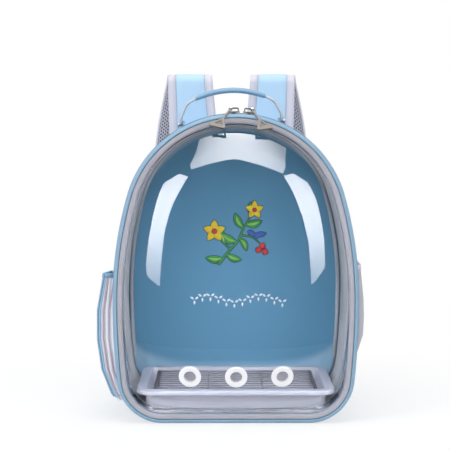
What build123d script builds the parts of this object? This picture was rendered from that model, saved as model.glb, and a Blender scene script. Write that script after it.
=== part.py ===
"""Bird travel carrier: a fabric backpack shell with a clear bubble door.

Frame: the origin lies at the centre of the base's resting face, +X to the
viewer's right, +Y from the bubble to the back pad, +Z up.  All sizes in mm.
"""
from math import atan2, cos, degrees, radians, sin, sqrt, tan
import os

from build123d import *

os.makedirs("parts", exist_ok=True)

# ---- driving dimensions -------------------------------------------------
body_height = 420.0          # base to crown of the arch
body_width = 333.0           # widest point of the arch-shaped outline
widest_height = 165.0        # height of that widest point
shoulder_taper = 14.5        # how far each shoulder draws in from the widest point
lower_side_radius = 1100.0
corner_radius = 62.0

front_y = -105.0             # front face of the rim
rear_y = 105.0               # rear face of the back panel
wall = 3.0                   # laminated fabric wall
seam_z = 34.0                # base panel / side panel seam
arch_z = 330.0               # side panel / top panel seam

rim_radius = 5.0             # rounded light rim round the door
web_y = front_y + rim_radius         # plane where the door's parts are sewn together
web_thickness = 1.7
binding_inset = 6.0
binding_width = 7.0
binding_height = 3.0
window_inset = binding_inset + binding_width + 0.2
window_bulge = 60.0
window_wall = 1.2
crown_radius = 560.0
crown_z = 225.0
shoulder_fillet = 34.0

tape_inset = 0.3
tape_thickness = 1.2
chain_gap = 2.0
chain_y = -92.4              # middle of the zip chain
chain_width = 1.6
panel_front_y = -84.0        # where the fabric shell starts behind the zip

hinge_z = 5.0
cord_radius = 1.5
cord_clearance = 0.3
cord_half_length = 96.0
sleeve_half_length = 86.0
hinge_tab_width = 8.0
hinge_tab_thickness = 2.0

vent_height = 71.0
vent_spacing = 61.5
vent_outer = 30.0
vent_bore = 16.0
vent_flange = 2.2

floor_top = 16.0
floor_plate = 3.0

tray_lip_width = 273.0
tray_lip_depth = 190.0
tray_y = -5.0
tray_height = 28.0
tray_lip_height = 5.5
tray_wall = 2.0
tray_top_width = 249.0
tray_top_depth = 166.0
tray_draft = 2.0

grate_wires = 11
grate_pitch = (tray_top_depth - 12.0) / (grate_wires - 1)
grate_length = tray_top_width - 19.0
grate_z = 39.0
wire_radius = 1.1
cross_radius = 1.4
foot_radius = 1.0

slider_length = 16.0
slider_gap = 4.4             # between the two sliders' noses
slider_meet_x = 7.2          # the two sliders meet a little right of the crown
slider_width = 9.0
bail_height = 7.4            # middle of the bail's bar above the crown
pull_stem = 28.0             # eye to the top of the triangle
pull_triangle = 26.0
pull_thickness = 2.2
pull_lean = 24.0             # the two pulls fan out
pull_rest_angle = 33.0       # and droop over the rim

handle_y = 25.0
handle_half_span = 72.0
handle_axis_z = body_height - 12.4
handle_top = body_height + 38.0
handle_webbing = 25.0
handle_thickness = 2.6
grip_rise = 3.9              # half thickness of the flat rolled grip
grip_depth = 8.2             # and its half depth front to back
grip_half = 52.0
grip_arch = 10.9             # the grip's ends lie this far below its middle

harness_offset = -4.5        # the straps sit a little left of centre
handle_offset = -5.5         # and so does the handle, along the crown
strap_offset = 62.0
strap_width = 65.0
strap_thickness = 7.0
strap_top = body_height + 59.0
strap_foot = body_height - 42.0      # where the rising run leaves the back
strap_end_z = 262.0
strap_splay = 7.5            # widening of the rising run towards its foot
facing_width = 42.0

pad_foot = 70.0
pad_head = body_height - 48.0
pad_base = 7.0

pouch_top = 201.5
pocket_top = 213.0

# ---- the arch-shaped outline --------------------------------------------
half_width = body_width / 2
crown_arc = half_width - shoulder_taper
crown_centre = body_height - crown_arc
side_arc = (half_width ** 2 + (crown_centre - widest_height) ** 2
            - crown_arc ** 2) / (2 * shoulder_taper)
side_centre = half_width - side_arc
side_angle = degrees(atan2(crown_centre - widest_height, -side_centre))
lower_centre = half_width - lower_side_radius
corner_centre = lower_centre + sqrt((lower_side_radius - corner_radius) ** 2
                                    - (widest_height - corner_radius) ** 2)
lower_angle = degrees(atan2(widest_height - corner_radius, corner_centre - lower_centre))


def outline(inset=0.0):
    """The arch outline in the XZ plane, drawn in by a constant inset."""
    low, high = widest_height, crown_centre
    edges = [
        CenterArc((side_centre, low), side_arc - inset, 0, side_angle),
        CenterArc((0, high), crown_arc - inset, side_angle, 180 - 2 * side_angle),
        CenterArc((-side_centre, low), side_arc - inset, 180 - side_angle, side_angle),
        CenterArc((-lower_centre, low), lower_side_radius - inset, 180, lower_angle),
        CenterArc((-corner_centre, corner_radius), corner_radius - inset,
                  180 + lower_angle, 90 - lower_angle),
        Line((-corner_centre, inset), (corner_centre, inset)),
        CenterArc((corner_centre, corner_radius), corner_radius - inset,
                  270, 90 - lower_angle),
        CenterArc((lower_centre, low), lower_side_radius - inset,
                  360 - lower_angle, lower_angle),
    ]
    return Rot(X=90) * Face(Wire(edges))


def prism(inset, y0, y1):
    """The outline as a solid block between two planes of depth."""
    return extrude(Pos(0, y0, 0) * outline(inset), y1 - y0, dir=(0, 1, 0))


def ring(outer_inset, inner_inset, y0, y1):
    """A band that follows the outline."""
    return prism(outer_inset, y0, y1) - prism(inner_inset, y0 - 1, y1 + 1)


def block(x0, x1, y0, y1, z0, z1):
    """An axis-aligned box given by its limits."""
    return Pos((x0 + x1) / 2, (y0 + y1) / 2, (z0 + z1) / 2) * Box(x1 - x0, y1 - y0, z1 - z0)


far = 400.0


def between_z(z0, z1):
    return block(-far, far, -far, far, z0, z1)


def mirrored(shape):
    return mirror(shape, about=Plane.YZ)


def strip_face(points, bend, thickness):
    """A flat strip of constant thickness round a run with rounded corners (XY sketch)."""
    run = FilletPolyline(*points, radius=bend)
    return Face(offset(run, thickness / 2, side=Side.BOTH).wire())


def strip_xz(points, bend, thickness, y0, y1):
    """A strip whose profile lies in XZ, as wide as y0 to y1."""
    face = Rot(X=90) * strip_face(points, bend, thickness)
    return extrude(Pos(0, y0, 0) * face, y1 - y0, dir=(0, 1, 0))


def strip_yz(points, bend, thickness, x0, x1):
    """A strip whose profile lies in YZ, as wide as x0 to x1."""
    face = Plane.YZ * strip_face(points, bend, thickness)
    return extrude(Pos(x0, 0, 0) * face, x1 - x0, dir=(1, 0, 0))


def offset_run(points, by):
    """The corners of a run moved sideways by a constant distance."""
    def normal(a, b):
        dx, dy = b[0] - a[0], b[1] - a[1]
        length = sqrt(dx * dx + dy * dy)
        return -dy / length, dx / length

    moved = []
    for i, (x, y) in enumerate(points):
        before = normal(points[max(i - 1, 0)], points[max(i, 1)])
        last = len(points) - 1
        after = normal(points[min(i, last - 1)], points[min(i + 1, last)])
        k = by / (1 + before[0] * after[0] + before[1] * after[1])
        moved.append((x + (before[0] + after[0]) * k, y + (before[1] + after[1]) * k))
    return moved


def plan_xz(left, right, y0, y1):
    """A prism along Y whose XZ plan runs down two smooth sides."""
    face = Face(Wire([Spline(*left), Line(left[-1], right[-1]),
                      Spline(*right[::-1]), Line(right[0], left[0])]))
    return extrude(Pos(0, y0, 0) * (Rot(X=90) * face), y1 - y0, dir=(0, 1, 0))


def outside(edge, inset):
    """True for an edge that lies outside the outline at the given inset."""
    p = edge @ 0.5
    probe = Pos(p.X, 0, p.Z) * Sphere(0.05)
    return not (prism(inset, -1, 1) & probe)


parts = {}


def save(name, shape):
    parts[name] = shape
    export_step(shape, f"parts/{name}.step")


# ---- fabric shell --------------------------------------------------------
shell_rear = rear_y - 5.0
window_y0, window_y1 = -56.0, 64.0
window_z0, window_z1 = 224.0, 318.0
window_corner = 16.0


def side_window(grow, reach=40.0):
    """A rounded block across the left wall that cuts or trims its window."""
    b = block(-half_width - reach, -half_width + reach + 25, window_y0 - grow,
              window_y1 + grow, window_z0 - grow, window_z1 + grow)
    return fillet(b.edges().filter_by(Axis.X), window_corner + grow * 0.6)


shell = ring(0, wall, panel_front_y, shell_rear)
base_shell = ring(0, wall, web_y + 5.5, shell_rear)
left_half = block(-far, 0, -far, far, seam_z, arch_z)
side_left = shell & left_half
side_left = side_left - side_window(0)
save("side_panel_left", side_left)
save("side_panel_right", mirrored(side_left))
save("top_panel", shell & between_z(arch_z, far + 100))
save("base_panel", base_shell & between_z(-10, seam_z))

mesh_left = ring(wall, wall + 0.8, panel_front_y + 10, shell_rear - 10) & side_window(7)
mesh_left = mesh_left & block(-far, 0, -far, far, 0, far)
save("window_mesh_left", mesh_left)
save("window_mesh_right", mirrored(mesh_left))
frame_left = (ring(-1.0, 0, panel_front_y + 10, shell_rear - 10) & side_window(6)) - side_window(0)
frame_left = frame_left & block(-far, 0, -far, far, 0, far)
save("window_binding_left", frame_left)
save("window_binding_right", mirrored(frame_left))

# ---- back: panel, lining, piping, inner seam tape ------------------------
piping = ring(-1.6, wall + 0.4, shell_rear, rear_y)
rear_loop = [e for e in piping.edges()
             if e.bounding_box().min.Y > rear_y - 0.01 and outside(e, 1.0)]
save("rear_piping", fillet(rear_loop, 2.4) & between_z(0, far + 100))
save("back_panel", prism(wall + 0.4, shell_rear + 1.2, rear_y))
save("back_lining", prism(wall + 0.4, shell_rear, shell_rear + 1.2))
save("inner_binding", ring(wall, wall + 6.0, shell_rear - 4.0, shell_rear))

# ---- floor board ---------------------------------------------------------
board_half = corner_centre + 22.0
board_front, board_rear = -92.0, shell_rear - 6.0
board = block(-board_half, board_half, board_front, board_rear,
              floor_top - floor_plate, floor_top)
board = fillet(board.edges().filter_by(Axis.Z), 18)
rib_count = 5
for i in range(rib_count):
    x = (i - (rib_count - 1) / 2) * 44.0
    board += block(x - 3, x + 3, board_front + 8, board_rear - 8, wall, floor_top - floor_plate)
save("floor_board", board)

# ---- zip tapes -----------------------------------------------------------
tape_back = chain_y + chain_gap / 2
tape_front = chain_y - chain_gap / 2


def zip_track(y_edge, y_far):
    """A zip tape and the raised chain along the edge at y_edge."""
    step = 1 if y_far > y_edge else -1
    y0, y1 = sorted((y_edge, y_far))
    c0, c1 = sorted((y_edge, y_edge + step * chain_width))
    tape = ring(tape_inset, tape_inset + tape_thickness, y0, y1)
    chain = ring(-0.9, tape_inset, c0, c1)
    return (tape + chain) & between_z(seam_z, far + 100)


save("zip_track_body", zip_track(tape_back, panel_front_y))

# ---- hinge at the foot of the door ---------------------------------------
hinge_at = Pos(0, web_y, hinge_z)
cord = hinge_at * Rot(Y=90) * Cylinder(cord_radius, 2 * cord_half_length)
tab_x = cord_half_length - hinge_tab_width / 2
tabs = []
for side in (-1, 1):
    x = side * tab_x
    tab = block(x - hinge_tab_width / 2, x + hinge_tab_width / 2, web_y,
                web_y + 8.5, hinge_z - hinge_tab_thickness / 2, hinge_z + hinge_tab_thickness / 2)
    tabs.append(tab)
hinge = cord + tabs[0] + tabs[1]
save("hinge_cord", hinge - parts["base_panel"])

# ---- door ----------------------------------------------------------------
cord_bore = hinge_at * Rot(Y=90) * Cylinder(cord_radius + cord_clearance,
                                           2 * cord_half_length + 2)

rim = ring(0.05, rim_radius, front_y + 0.1, web_y)
front_edges = [e for e in rim.edges() if e.bounding_box().max.Y < front_y + 0.11]

outer_loop = [e for e in front_edges if outside(e, rim_radius / 2)]
rim = fillet(outer_loop, rim_radius - 0.3)
lip_y = front_y + 2.0
rim = rim + ring(rim_radius - 0.1, binding_inset, lip_y, lip_y + 1.0)
save("door_rim", rim - cord_bore)

web = ring(1.0, window_inset + 0.4, web_y, web_y + web_thickness)
web = web - block(-cord_half_length - 2, cord_half_length + 2, web_y - 1,
                  web_y + 3, -1, hinge_z + cord_radius + 0.5)
save("door_web", web)

binding_y = web_y - window_wall
binding = ring(binding_inset, binding_inset + binding_width,
               binding_y - binding_height, binding_y)
soft = [e for e in binding.edges() if e.bounding_box().max.Y < binding_y - binding_height + 0.01]
save("door_binding", fillet(soft, 1.6) - cord_bore)


def bubble(inset, bulge, start_y):
    """A block with the outline's plan, crowned by a sphere and rounded over."""
    body = extrude(Pos(0, start_y, 0) * outline(inset), bulge, dir=(0, -1, 0))
    radius = crown_radius - (inset - window_inset)
    body = body & (Pos(0, start_y - bulge + radius, crown_z) * Sphere(radius))
    crest = [e for e in body.edges() if e.bounding_box().max.Y < start_y - 3]
    return fillet(crest, shoulder_fillet - (inset - window_inset))


bubble_outer = bubble(window_inset, window_bulge, web_y)
bubble_inner = bubble(window_inset + window_wall, window_bulge - window_wall, web_y)
flange = ring(binding_inset + 1, window_inset + window_wall, binding_y, web_y)
window = bubble_outer - bubble_inner + flange - (bubble_inner & prism(0, binding_y - 1, web_y + 1))


def surface_frame(x, z):
    """A plane on the bubble's outer face at x, z, its normal pointing out."""
    step = 2.0
    gx = (bubble_y(x + step, z) - bubble_y(x - step, z)) / (2 * step)
    gz = (bubble_y(x, z + step) - bubble_y(x, z - step)) / (2 * step)
    return Plane(origin=(x, bubble_y(x, z), z), x_dir=(1, gx, 0), z_dir=(gx, -1, gz))


def bubble_y(x, z):
    """Depth of the bubble's spherical crown at x, z."""
    centre = web_y - window_bulge + crown_radius
    return centre - sqrt(crown_radius ** 2 - x ** 2 - (z - crown_z) ** 2)


for x, name in ((-vent_spacing, "left"), (0.0, "middle"), (vent_spacing, "right")):
    at = surface_frame(x, vent_height)
    hole = at * Cylinder(vent_bore / 2 + 1.2, 20)
    window = window - hole
    barrel = at * Pos(0, 0, -0.9) * Cylinder(vent_bore / 2 + 0.9, 4.6)
    flange_disc = at * Pos(0, 0, vent_flange / 2) * Cylinder(vent_outer / 2, vent_flange)
    top = [e for e in flange_disc.edges()
           if (at.to_local_coords(e @ 0.5)).Z > vent_flange - 0.1]
    flange_disc = fillet(top, vent_flange * 0.6)
    grommet = (flange_disc + barrel) - at * Cylinder(vent_bore / 2, 30)
    inner_top = [e for e in grommet.edges().filter_by(GeomType.CIRCLE)
                 if at.to_local_coords(e @ 0.5).Z > vent_flange - 0.3
                 and abs(e.radius - vent_bore / 2) < 0.1]
    if inner_top:
        grommet = fillet(inner_top, 0.8)
    washer = at * Pos(0, 0, -2.6) * (Cylinder(vent_outer / 2 - 2, 1.4)
                                     - Cylinder(vent_bore / 2 + 0.9, 2))
    gauze = at * Pos(0, 0, -0.4) * Cylinder(vent_bore / 2, 0.6)
    parts[f"vent_ring_{name}"] = grommet
    parts[f"vent_washer_{name}"] = washer
    parts[f"vent_mesh_{name}"] = gauze
save("bubble_window", window)
for name in ("left", "middle", "right"):
    save(f"vent_ring_{name}", parts[f"vent_ring_{name}"] - window)
    save(f"vent_washer_{name}", parts[f"vent_washer_{name}"] - window)
    save(f"vent_mesh_{name}", parts[f"vent_mesh_{name}"])

save("zip_track_door", zip_track(tape_front, web_y + web_thickness))

# ---- zip sliders and pulls ----------------------------------------------
top_y = chain_y


def slider_at_crown():
    """A slider on the chain at the crown of the arch, pointing along X."""
    z = body_height
    upper = block(-slider_length / 2, slider_length / 2, top_y - slider_width / 2,
                  top_y + slider_width / 2, z + 1.3, z + 3.3)
    upper = fillet(upper.edges().filter_by(Axis.Z), 3)
    lower = block(-slider_length / 2, slider_length / 2, top_y - slider_width / 2,
                  top_y + slider_width / 2, z - 4.2, z - 2.4)
    lower = fillet(lower.edges().filter_by(Axis.Z), 3)
    post = block(-1.8, 1.8, top_y - 0.6, top_y + 0.6, z - 2.6, z + 1.4)
    span = slider_length - 2
    bail = block(-span / 2, span / 2, top_y - 1.2, top_y + 1.2, z + 3.2, z + bail_height + 1)
    bail = fillet(bail.edges().filter_by(Axis.Y).group_by(Axis.Z)[-1], 2.4)
    bail = bail - block(-span / 2 + 1.6, span / 2 - 1.6, top_y - 2, top_y + 2,
                        z + 3.2, z + bail_height - 1)
    return upper + lower + post + bail


def pull_at_crown(side):
    """A pull: eye round the bail's outer end, a stem and a triangular grip."""
    eye_x = side * (slider_length / 2 - 1 - 1.6 - 0.4 - 1.6)
    eye = Rot(Y=90) * (Cylinder(3.1, 3.2) - Cylinder(1.7, 4))
    stem = Pos(0, -(2.9 + pull_stem) / 2, 0) * Box(2.6, pull_stem - 2.9, 1.6)
    w, h = pull_triangle, pull_triangle * 0.94
    tri = Face(Wire(Polyline((0, 0), (-w / 2, -h), (w / 2, -h), close=True).edges()))
    tri = extrude(tri, pull_thickness / 2, both=True)
    tri = fillet(tri.edges().filter_by(Axis.Z), 2.6)
    slot = Face(Wire(Polyline((0, -h * 0.3), (-w * 0.25, -h * 0.72),
                              (w * 0.25, -h * 0.72), close=True).edges()))
    tri = tri - extrude(slot, pull_thickness, both=True)
    blade = Rot(X=pull_rest_angle) * Rot(Z=side * pull_lean) * (stem + Pos(0, -pull_stem + 3, 0) * tri)
    return Pos(eye_x, top_y, body_height + bail_height) * (eye + blade)


def along_crown(shape, x):
    """Move a piece from the crown to offset x along the crown arc."""
    return Pos(0, 0, crown_centre) * Rot(Y=degrees(x / crown_arc)) \
        * Pos(0, 0, -crown_centre) * shape


for side, name in ((-1, "left"), (1, "right")):
    x = slider_meet_x + side * (slider_length + slider_gap) / 2
    save(f"zip_slider_{name}", along_crown(slider_at_crown(), x))
    save(f"zip_pull_{name}", along_crown(pull_at_crown(side), x))

# ---- waste tray and wire grate -------------------------------------------
tray_z1 = floor_top + tray_height


def rounded_slab(width, depth, z, corner):
    face = RectangleRounded(width, depth, corner)
    return Pos(0, tray_y, z) * face


def tub(shrink, z0, z1):
    top = rounded_slab(tray_top_width - 2 * shrink, tray_top_depth - 2 * shrink, z1,
                       11 - shrink)
    foot = rounded_slab(tray_top_width - 2 * (shrink + tray_draft),
                        tray_top_depth - 2 * (shrink + tray_draft), z0, 11 - shrink)
    return loft([foot, top])


tray = tub(0, floor_top, tray_z1 - 1)
foot_edges = [e for e in tray.edges() if e.bounding_box().max.Z < floor_top + 0.01]
tray = fillet(foot_edges, 2.5)
lip = extrude(rounded_slab(tray_lip_width, tray_lip_depth, tray_z1 - tray_lip_height, 24),
              tray_lip_height)
lip_top = [e for e in lip.edges() if e.bounding_box().min.Z > tray_z1 - 0.01]
lip = fillet(lip_top, 2.2)
under = extrude(rounded_slab(tray_lip_width - 2 * tray_wall, tray_lip_depth - 2 * tray_wall,
                             tray_z1 - tray_lip_height, 24 - tray_wall),
                tray_lip_height - tray_wall)
tray = (tray + (lip - under)) - tub(tray_wall, floor_top + tray_wall, tray_z1 + 2)
save("waste_tray", tray)

grate_span = (grate_wires - 1) * grate_pitch
wires = []
for i in range(grate_wires):
    y = tray_y + (i - (grate_wires - 1) / 2) * grate_pitch
    wires.append(Pos(0, y, grate_z) * Rot(Y=90) * Cylinder(wire_radius, grate_length))
cross_z = grate_z - wire_radius - cross_radius + 0.5
for x in (-grate_length / 2 + 3, -grate_length / 6, grate_length / 6, grate_length / 2 - 3):
    wires.append(Pos(x, tray_y, cross_z)
                 * Box(2 * cross_radius, grate_span + 2 * wire_radius, 2 * cross_radius))
foot_z = floor_top + tray_wall
feet_y = grate_span / 2 - 12
feet = None
for x in (-grate_length / 2 + 3, grate_length / 2 - 3):
    for y in (tray_y - feet_y, tray_y + feet_y):
        foot_top = cross_z - cross_radius
        leg = Pos(x, y, (foot_z + foot_top) / 2) * Cylinder(foot_radius, foot_top - foot_z)
        feet = leg if feet is None else feet + leg
for y in (tray_y - grate_span / 2, tray_y + grate_span / 2):
    foot_top = grate_z - wire_radius
    feet = feet + Pos(0, y, (foot_z + foot_top) / 2) * Cylinder(0.8, foot_top - foot_z)
grate = wires[0]
for wire in wires[1:]:
    grate = grate + wire
save("wire_grate", grate)
save("grate_feet", feet - grate)

# ---- carry handle ----------------------------------------------------------
leg_foot = handle_half_span
bar_z = handle_top - grip_rise
left_leg = [(-leg_foot, handle_axis_z - 4.6), (-leg_foot, handle_axis_z + 11),
            (-leg_foot + 9, bar_z - 17.5), (-grip_half, bar_z - grip_arch),
            (-grip_half * 0.65, bar_z - grip_arch * 0.43)]
handle_points = left_leg + [(0, bar_z - 0.2)] + [(-x, z) for x, z in left_leg[::-1]]
y0, y1 = handle_y - handle_webbing / 2, handle_y + handle_webbing / 2
webbing = strip_xz(handle_points, 11, handle_thickness, y0, y1)
core_half = 4.6
taper_half = grip_half + 11.0
waist = [(-taper_half, y0 - 1), (-grip_half, handle_y - core_half),
         (grip_half, handle_y - core_half), (taper_half, y0 - 1)]
for side in (-1, 1):
    pts = [(x, handle_y + side * (handle_y - y)) for x, y in waist]
    cut = Face(Wire(Polyline(*pts, close=True).edges()))
    webbing = webbing - Pos(0, 0, handle_axis_z + 22) * extrude(cut, 60)
for side in (-1, 1):
    foot = Pos(side * leg_foot, handle_y, handle_axis_z) * Rot(Y=90)
    low = block(side * leg_foot - 6, side * leg_foot + 6, y0 - 1, y1 + 1,
                handle_axis_z - 20, handle_axis_z)
    webbing = webbing - (low - foot * Cylinder(4.6, 14))
    wedge = Face(Wire(Polyline((y0 - 1, 0), (handle_y - 4.6, 0), (y0 - 1, 15), close=True).edges()))
    wedge = extrude(Plane.YZ * wedge, 6, both=True)
    wedge = Pos(side * leg_foot, 0, handle_axis_z - 0.02) * wedge
    other = Pos(0, 2 * handle_y, 0) * mirror(wedge, about=Plane.XZ)
    webbing = webbing - wedge - other
    webbing = webbing - foot * Cylinder(2.7, 14)
save("handle_webbing", along_crown(webbing, handle_offset))
end = (grip_half, handle_y, bar_z - grip_arch)
path = ThreePointArc((-end[0], end[1], end[2]), (0, handle_y, bar_z), end)
roll = Plane(origin=path @ 0, x_dir=(0, 1, 0), z_dir=path % 0) * Ellipse(grip_depth, grip_rise)
grip = sweep(roll, path)
save("handle_grip", along_crown(grip - webbing, handle_offset))

for side, name in ((-1, "left"), (1, "right")):
    x_leg = side * leg_foot
    inner = x_leg - side * (handle_thickness / 2 + 0.8)
    x0, x1 = sorted((inner, inner - side * 2.4))
    plate = block(x0, x1, handle_y - 8, handle_y + 8, handle_axis_z - 14, handle_axis_z + 5)
    plate = fillet(plate.edges().filter_by(Axis.X).group_by(Axis.Z)[-1], 5)
    pad = block(*sorted((inner, inner - side * 26)), handle_y - 14, handle_y + 14,
                handle_axis_z - 14, handle_axis_z + 30) & (prism(-2.0, -100, 100))
    pad = fillet(pad.edges().filter_by(Axis.Z), 4)
    pin_x0, pin_x1 = sorted((inner - side * 2.4, x_leg + side * 4.2))
    pin = Pos((pin_x0 + pin_x1) / 2, handle_y, handle_axis_z) * Rot(Y=90) * Cylinder(
        2.4, pin_x1 - pin_x0)
    head = Pos(x_leg + side * 3.6, handle_y, handle_axis_z) * Rot(Y=90) * Cylinder(4.4, 1.4)
    save(f"handle_anchor_{name}", along_crown((plate + pad) - prism(0, -100, 100), handle_offset))
    save(f"handle_rivet_{name}", along_crown((pin + head) - plate, handle_offset))

# ---- back pad and shoulder straps ----------------------------------------


def save_pair(name, right):
    """Save a strap piece and its mirror image, both set off with the harness."""
    parts[name] = right
    save(f"{name}_right", Pos(harness_offset, 0, 0) * right)
    save(f"{name}_left", Pos(harness_offset, 0, 0) * mirrored(right))


pad_y0, pad_y1 = rear_y, rear_y + 11.0
pad_half = 118.0
pad_block = (block(-pad_half, pad_half, pad_y0, pad_y0 + pad_base, pad_foot, pad_head)
             & prism(wall + 26, pad_y0, pad_y1))
pad_block += (block(-pad_half + 4, pad_half - 4, pad_y0 + pad_base, pad_y1,
                    pad_foot + 4, pad_head - 4)
              & prism(wall + 30, pad_y0, pad_y1))
for x in (-40, 40):
    pad_block = pad_block - block(x - 5, x + 5, pad_y1 - 4, pad_y1 + 1, 0, far)
save("back_pad", pad_block)

rise_y = rear_y + strap_thickness / 2 + 1.0
fall_y = rise_y + 17.5
fold_z = strap_top - strap_thickness / 2
strap_points = [(rise_y, strap_foot), (rise_y, fold_z), (fall_y, fold_z),
                (fall_y + 11, 350), (fall_y + 11, strap_end_z + strap_thickness / 2)]
fold = 8.5
split_y = rise_y + 8.75
strap_zs = [strap_top + 2, 403, 320, strap_end_z - 1]


def strap_plan(half, y0, y1):
    """The fanned-out plan of the strap's hanging run."""
    centres = [strap_offset, strap_offset + 16, strap_offset + 27, strap_offset + 33]
    narrowing = [0, 0, 1.5, 4.5]
    left = [(c - half + n, z) for c, n, z in zip(centres, narrowing, strap_zs)]
    right = [(c + half - n, z) for c, n, z in zip(centres, narrowing, strap_zs)]
    return plan_xz(left, right, y0, y1)


def strap_piece(points, bend, thickness, half):
    """A strap layer: a straight rising run and a fanned hanging run."""
    strip = strip_yz(points, bend, thickness, 0, far)
    splay = strap_splay * (strap_top - strap_foot) / (strap_top - 400)
    rise = strip & plan_xz([(strap_offset - half - splay, strap_foot - 8),
                            (strap_offset - half, strap_top + 2)],
                           [(strap_offset + half - splay / 4, strap_foot - 8),
                            (strap_offset + half, strap_top + 2)], 0, split_y)
    fall = strip & strap_plan(half, split_y, far)
    return rise + fall


strap = strap_piece(strap_points, fold, strap_thickness, strap_width / 2)
save_pair("strap_pad", strap)


facing_shift = strap_thickness / 2 + 0.5
facing_points = offset_run(strap_points, facing_shift)
facing = strap_piece(facing_points, fold + facing_shift, 1.0, facing_width / 2) - strap
save_pair("strap_facing", facing)

buckle_z = strap_end_z - 12
buckle_x = strap_offset + 32
buckle_y = fall_y + 9
buckle = Box(36, 5, 26)
buckle = fillet(buckle.edges().filter_by(Axis.Y), 4)
for z in (-7.5, 0, 7.5):
    buckle = buckle - Pos(0, 0, z) * Box(27, 8, 4.2)
buckle = Pos(buckle_x, buckle_y, buckle_z) * buckle
buckle = buckle - strap
save_pair("ladder_buckle", buckle)

lower_points = [(buckle_y + 3.6, buckle_z - 7), (buckle_y + 2, 200), (pad_y1 + 4.5, 73),
                (rear_y + 3.3, 52), (rear_y + 3.3, 37)]
lower = strip_yz(lower_points, 6, 1.6, 0, 160)
band = [(buckle_x - 12.5, buckle_z + 1), (buckle_x - 9, 190), (buckle_x - 0.5, 110),
        (buckle_x + 4, 34)]
lower = lower & plan_xz(band, [(x + 25, z) for x, z in band], 90, 160)
lower = lower - buckle
anchor = Face(Wire(Polyline((buckle_x + 1, 34), (buckle_x + 34, 34), (buckle_x + 30, 66),
                            (buckle_x + 4, 66), close=True).edges()))
anchor = extrude(Pos(0, rear_y, 0) * (Rot(X=90) * anchor), 2.4, dir=(0, 1, 0))
save_pair("strap_anchor", anchor)
lower = lower - anchor
save_pair("strap_webbing", lower)

# ---- side pouch (left) and mesh pocket (right) ----------------------------
pouch_y0, pouch_y1 = -66.0, 72.0


def pouch(profile, bend, thick, corner):
    """An open-topped pocket sewn to the left of the shell, bulging along a profile."""
    def body(shrink):
        run = offset_run([(-half_width - reach, z) for reach, z in profile], shrink)
        top, foot = profile[0][1], run[-1][1]
        run[0] = (run[0][0], top)
        run[-1] = (-half_width + 34, foot)
        front = FilletPolyline(*run, radius=bend - shrink)
        back = Polyline(run[-1], (-half_width + 34, top), run[0])
        face = Rot(X=90) * Face(Wire(front.edges() + back.edges()))
        b = extrude(Pos(0, pouch_y0 + shrink, 0) * face, pouch_y1 - pouch_y0 - 2 * shrink,
                    dir=(0, 1, 0))
        sides = [e for e in b.edges() if e.bounding_box().size.Y < 0.01
                 and (e @ 0.5).Z < top - 0.01 and (e @ 0.5).X < -half_width + 33.9]
        return fillet(sides, corner - shrink)
    return body(0) - body(thick) - prism(0, -far / 2, far / 2)


pouch_profile = [(15.4, pouch_top), (25.4, 146), (24.8, 84), (3, 26), (-34, 26)]
left_pouch = pouch(pouch_profile, 22.0, 2.0, 14.0)
save("side_pouch_left", left_pouch & between_z(0, pouch_top - 6))
save("pouch_binding_left", left_pouch & between_z(pouch_top - 6, pouch_top))
pocket_profile = [(6.2, pocket_top), (11.6, 172), (11.4, 124), (2, 92), (-34, 88)]
right_pocket = mirrored(pouch(pocket_profile, 18.0, 1.4, 10.0))
save("mesh_pocket_right", right_pocket & between_z(0, pocket_top - 7))
save("pocket_binding_right", right_pocket & between_z(pocket_top - 7, pocket_top))
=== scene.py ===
"""Bird travel carrier: fabrics, film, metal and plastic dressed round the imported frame."""
import math

import bmesh
import bpy
from mathutils import Matrix, Vector, noise


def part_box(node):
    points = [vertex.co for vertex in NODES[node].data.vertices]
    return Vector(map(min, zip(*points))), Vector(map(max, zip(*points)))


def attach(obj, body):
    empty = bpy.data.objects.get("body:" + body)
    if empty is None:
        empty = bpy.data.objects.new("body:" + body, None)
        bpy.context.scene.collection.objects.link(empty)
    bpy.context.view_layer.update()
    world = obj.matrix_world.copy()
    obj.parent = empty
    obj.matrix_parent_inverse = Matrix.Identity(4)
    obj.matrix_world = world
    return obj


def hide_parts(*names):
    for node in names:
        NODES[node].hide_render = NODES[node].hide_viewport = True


bl_info = {
    "name": "Bird Travel Carrier",
    "version": (1, 0, 0),
    "blender": (4, 5, 0),
    "location": "View3D > Sidebar > Carrier",
    "description": "Dresses a bubble-door carrier frame in fabric, film, mesh, metal and plastic",
    "category": "Object",
}

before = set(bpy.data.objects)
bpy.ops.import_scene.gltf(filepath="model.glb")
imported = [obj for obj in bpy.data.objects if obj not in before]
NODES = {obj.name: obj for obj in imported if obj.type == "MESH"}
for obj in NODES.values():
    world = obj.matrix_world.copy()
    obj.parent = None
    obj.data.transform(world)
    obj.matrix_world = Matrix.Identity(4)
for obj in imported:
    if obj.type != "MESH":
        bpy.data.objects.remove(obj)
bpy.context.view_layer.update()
MM = 0.001

# ---- sizes of the shell, as in the frame ------------------------------------
BODY_HEIGHT = 420 * MM
BODY_WIDTH = 333 * MM
WIDEST_HEIGHT = 165 * MM
SHOULDER_TAPER = 14.5 * MM
LOWER_SIDE_RADIUS = 1100 * MM
CORNER_RADIUS = 62 * MM
WEB_Y = -100 * MM
PANEL_FRONT_Y = -84 * MM
SHELL_REAR = 100 * MM
SEAM_Z = 34 * MM
ARCH_Z = 330 * MM
WINDOW_INSET = 13.2 * MM
FILM_WALL = 1.2 * MM
HARNESS_X = -4.5 * MM
HANDLE_X = -5.5 * MM
HANDLE_Y = 25 * MM


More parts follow.
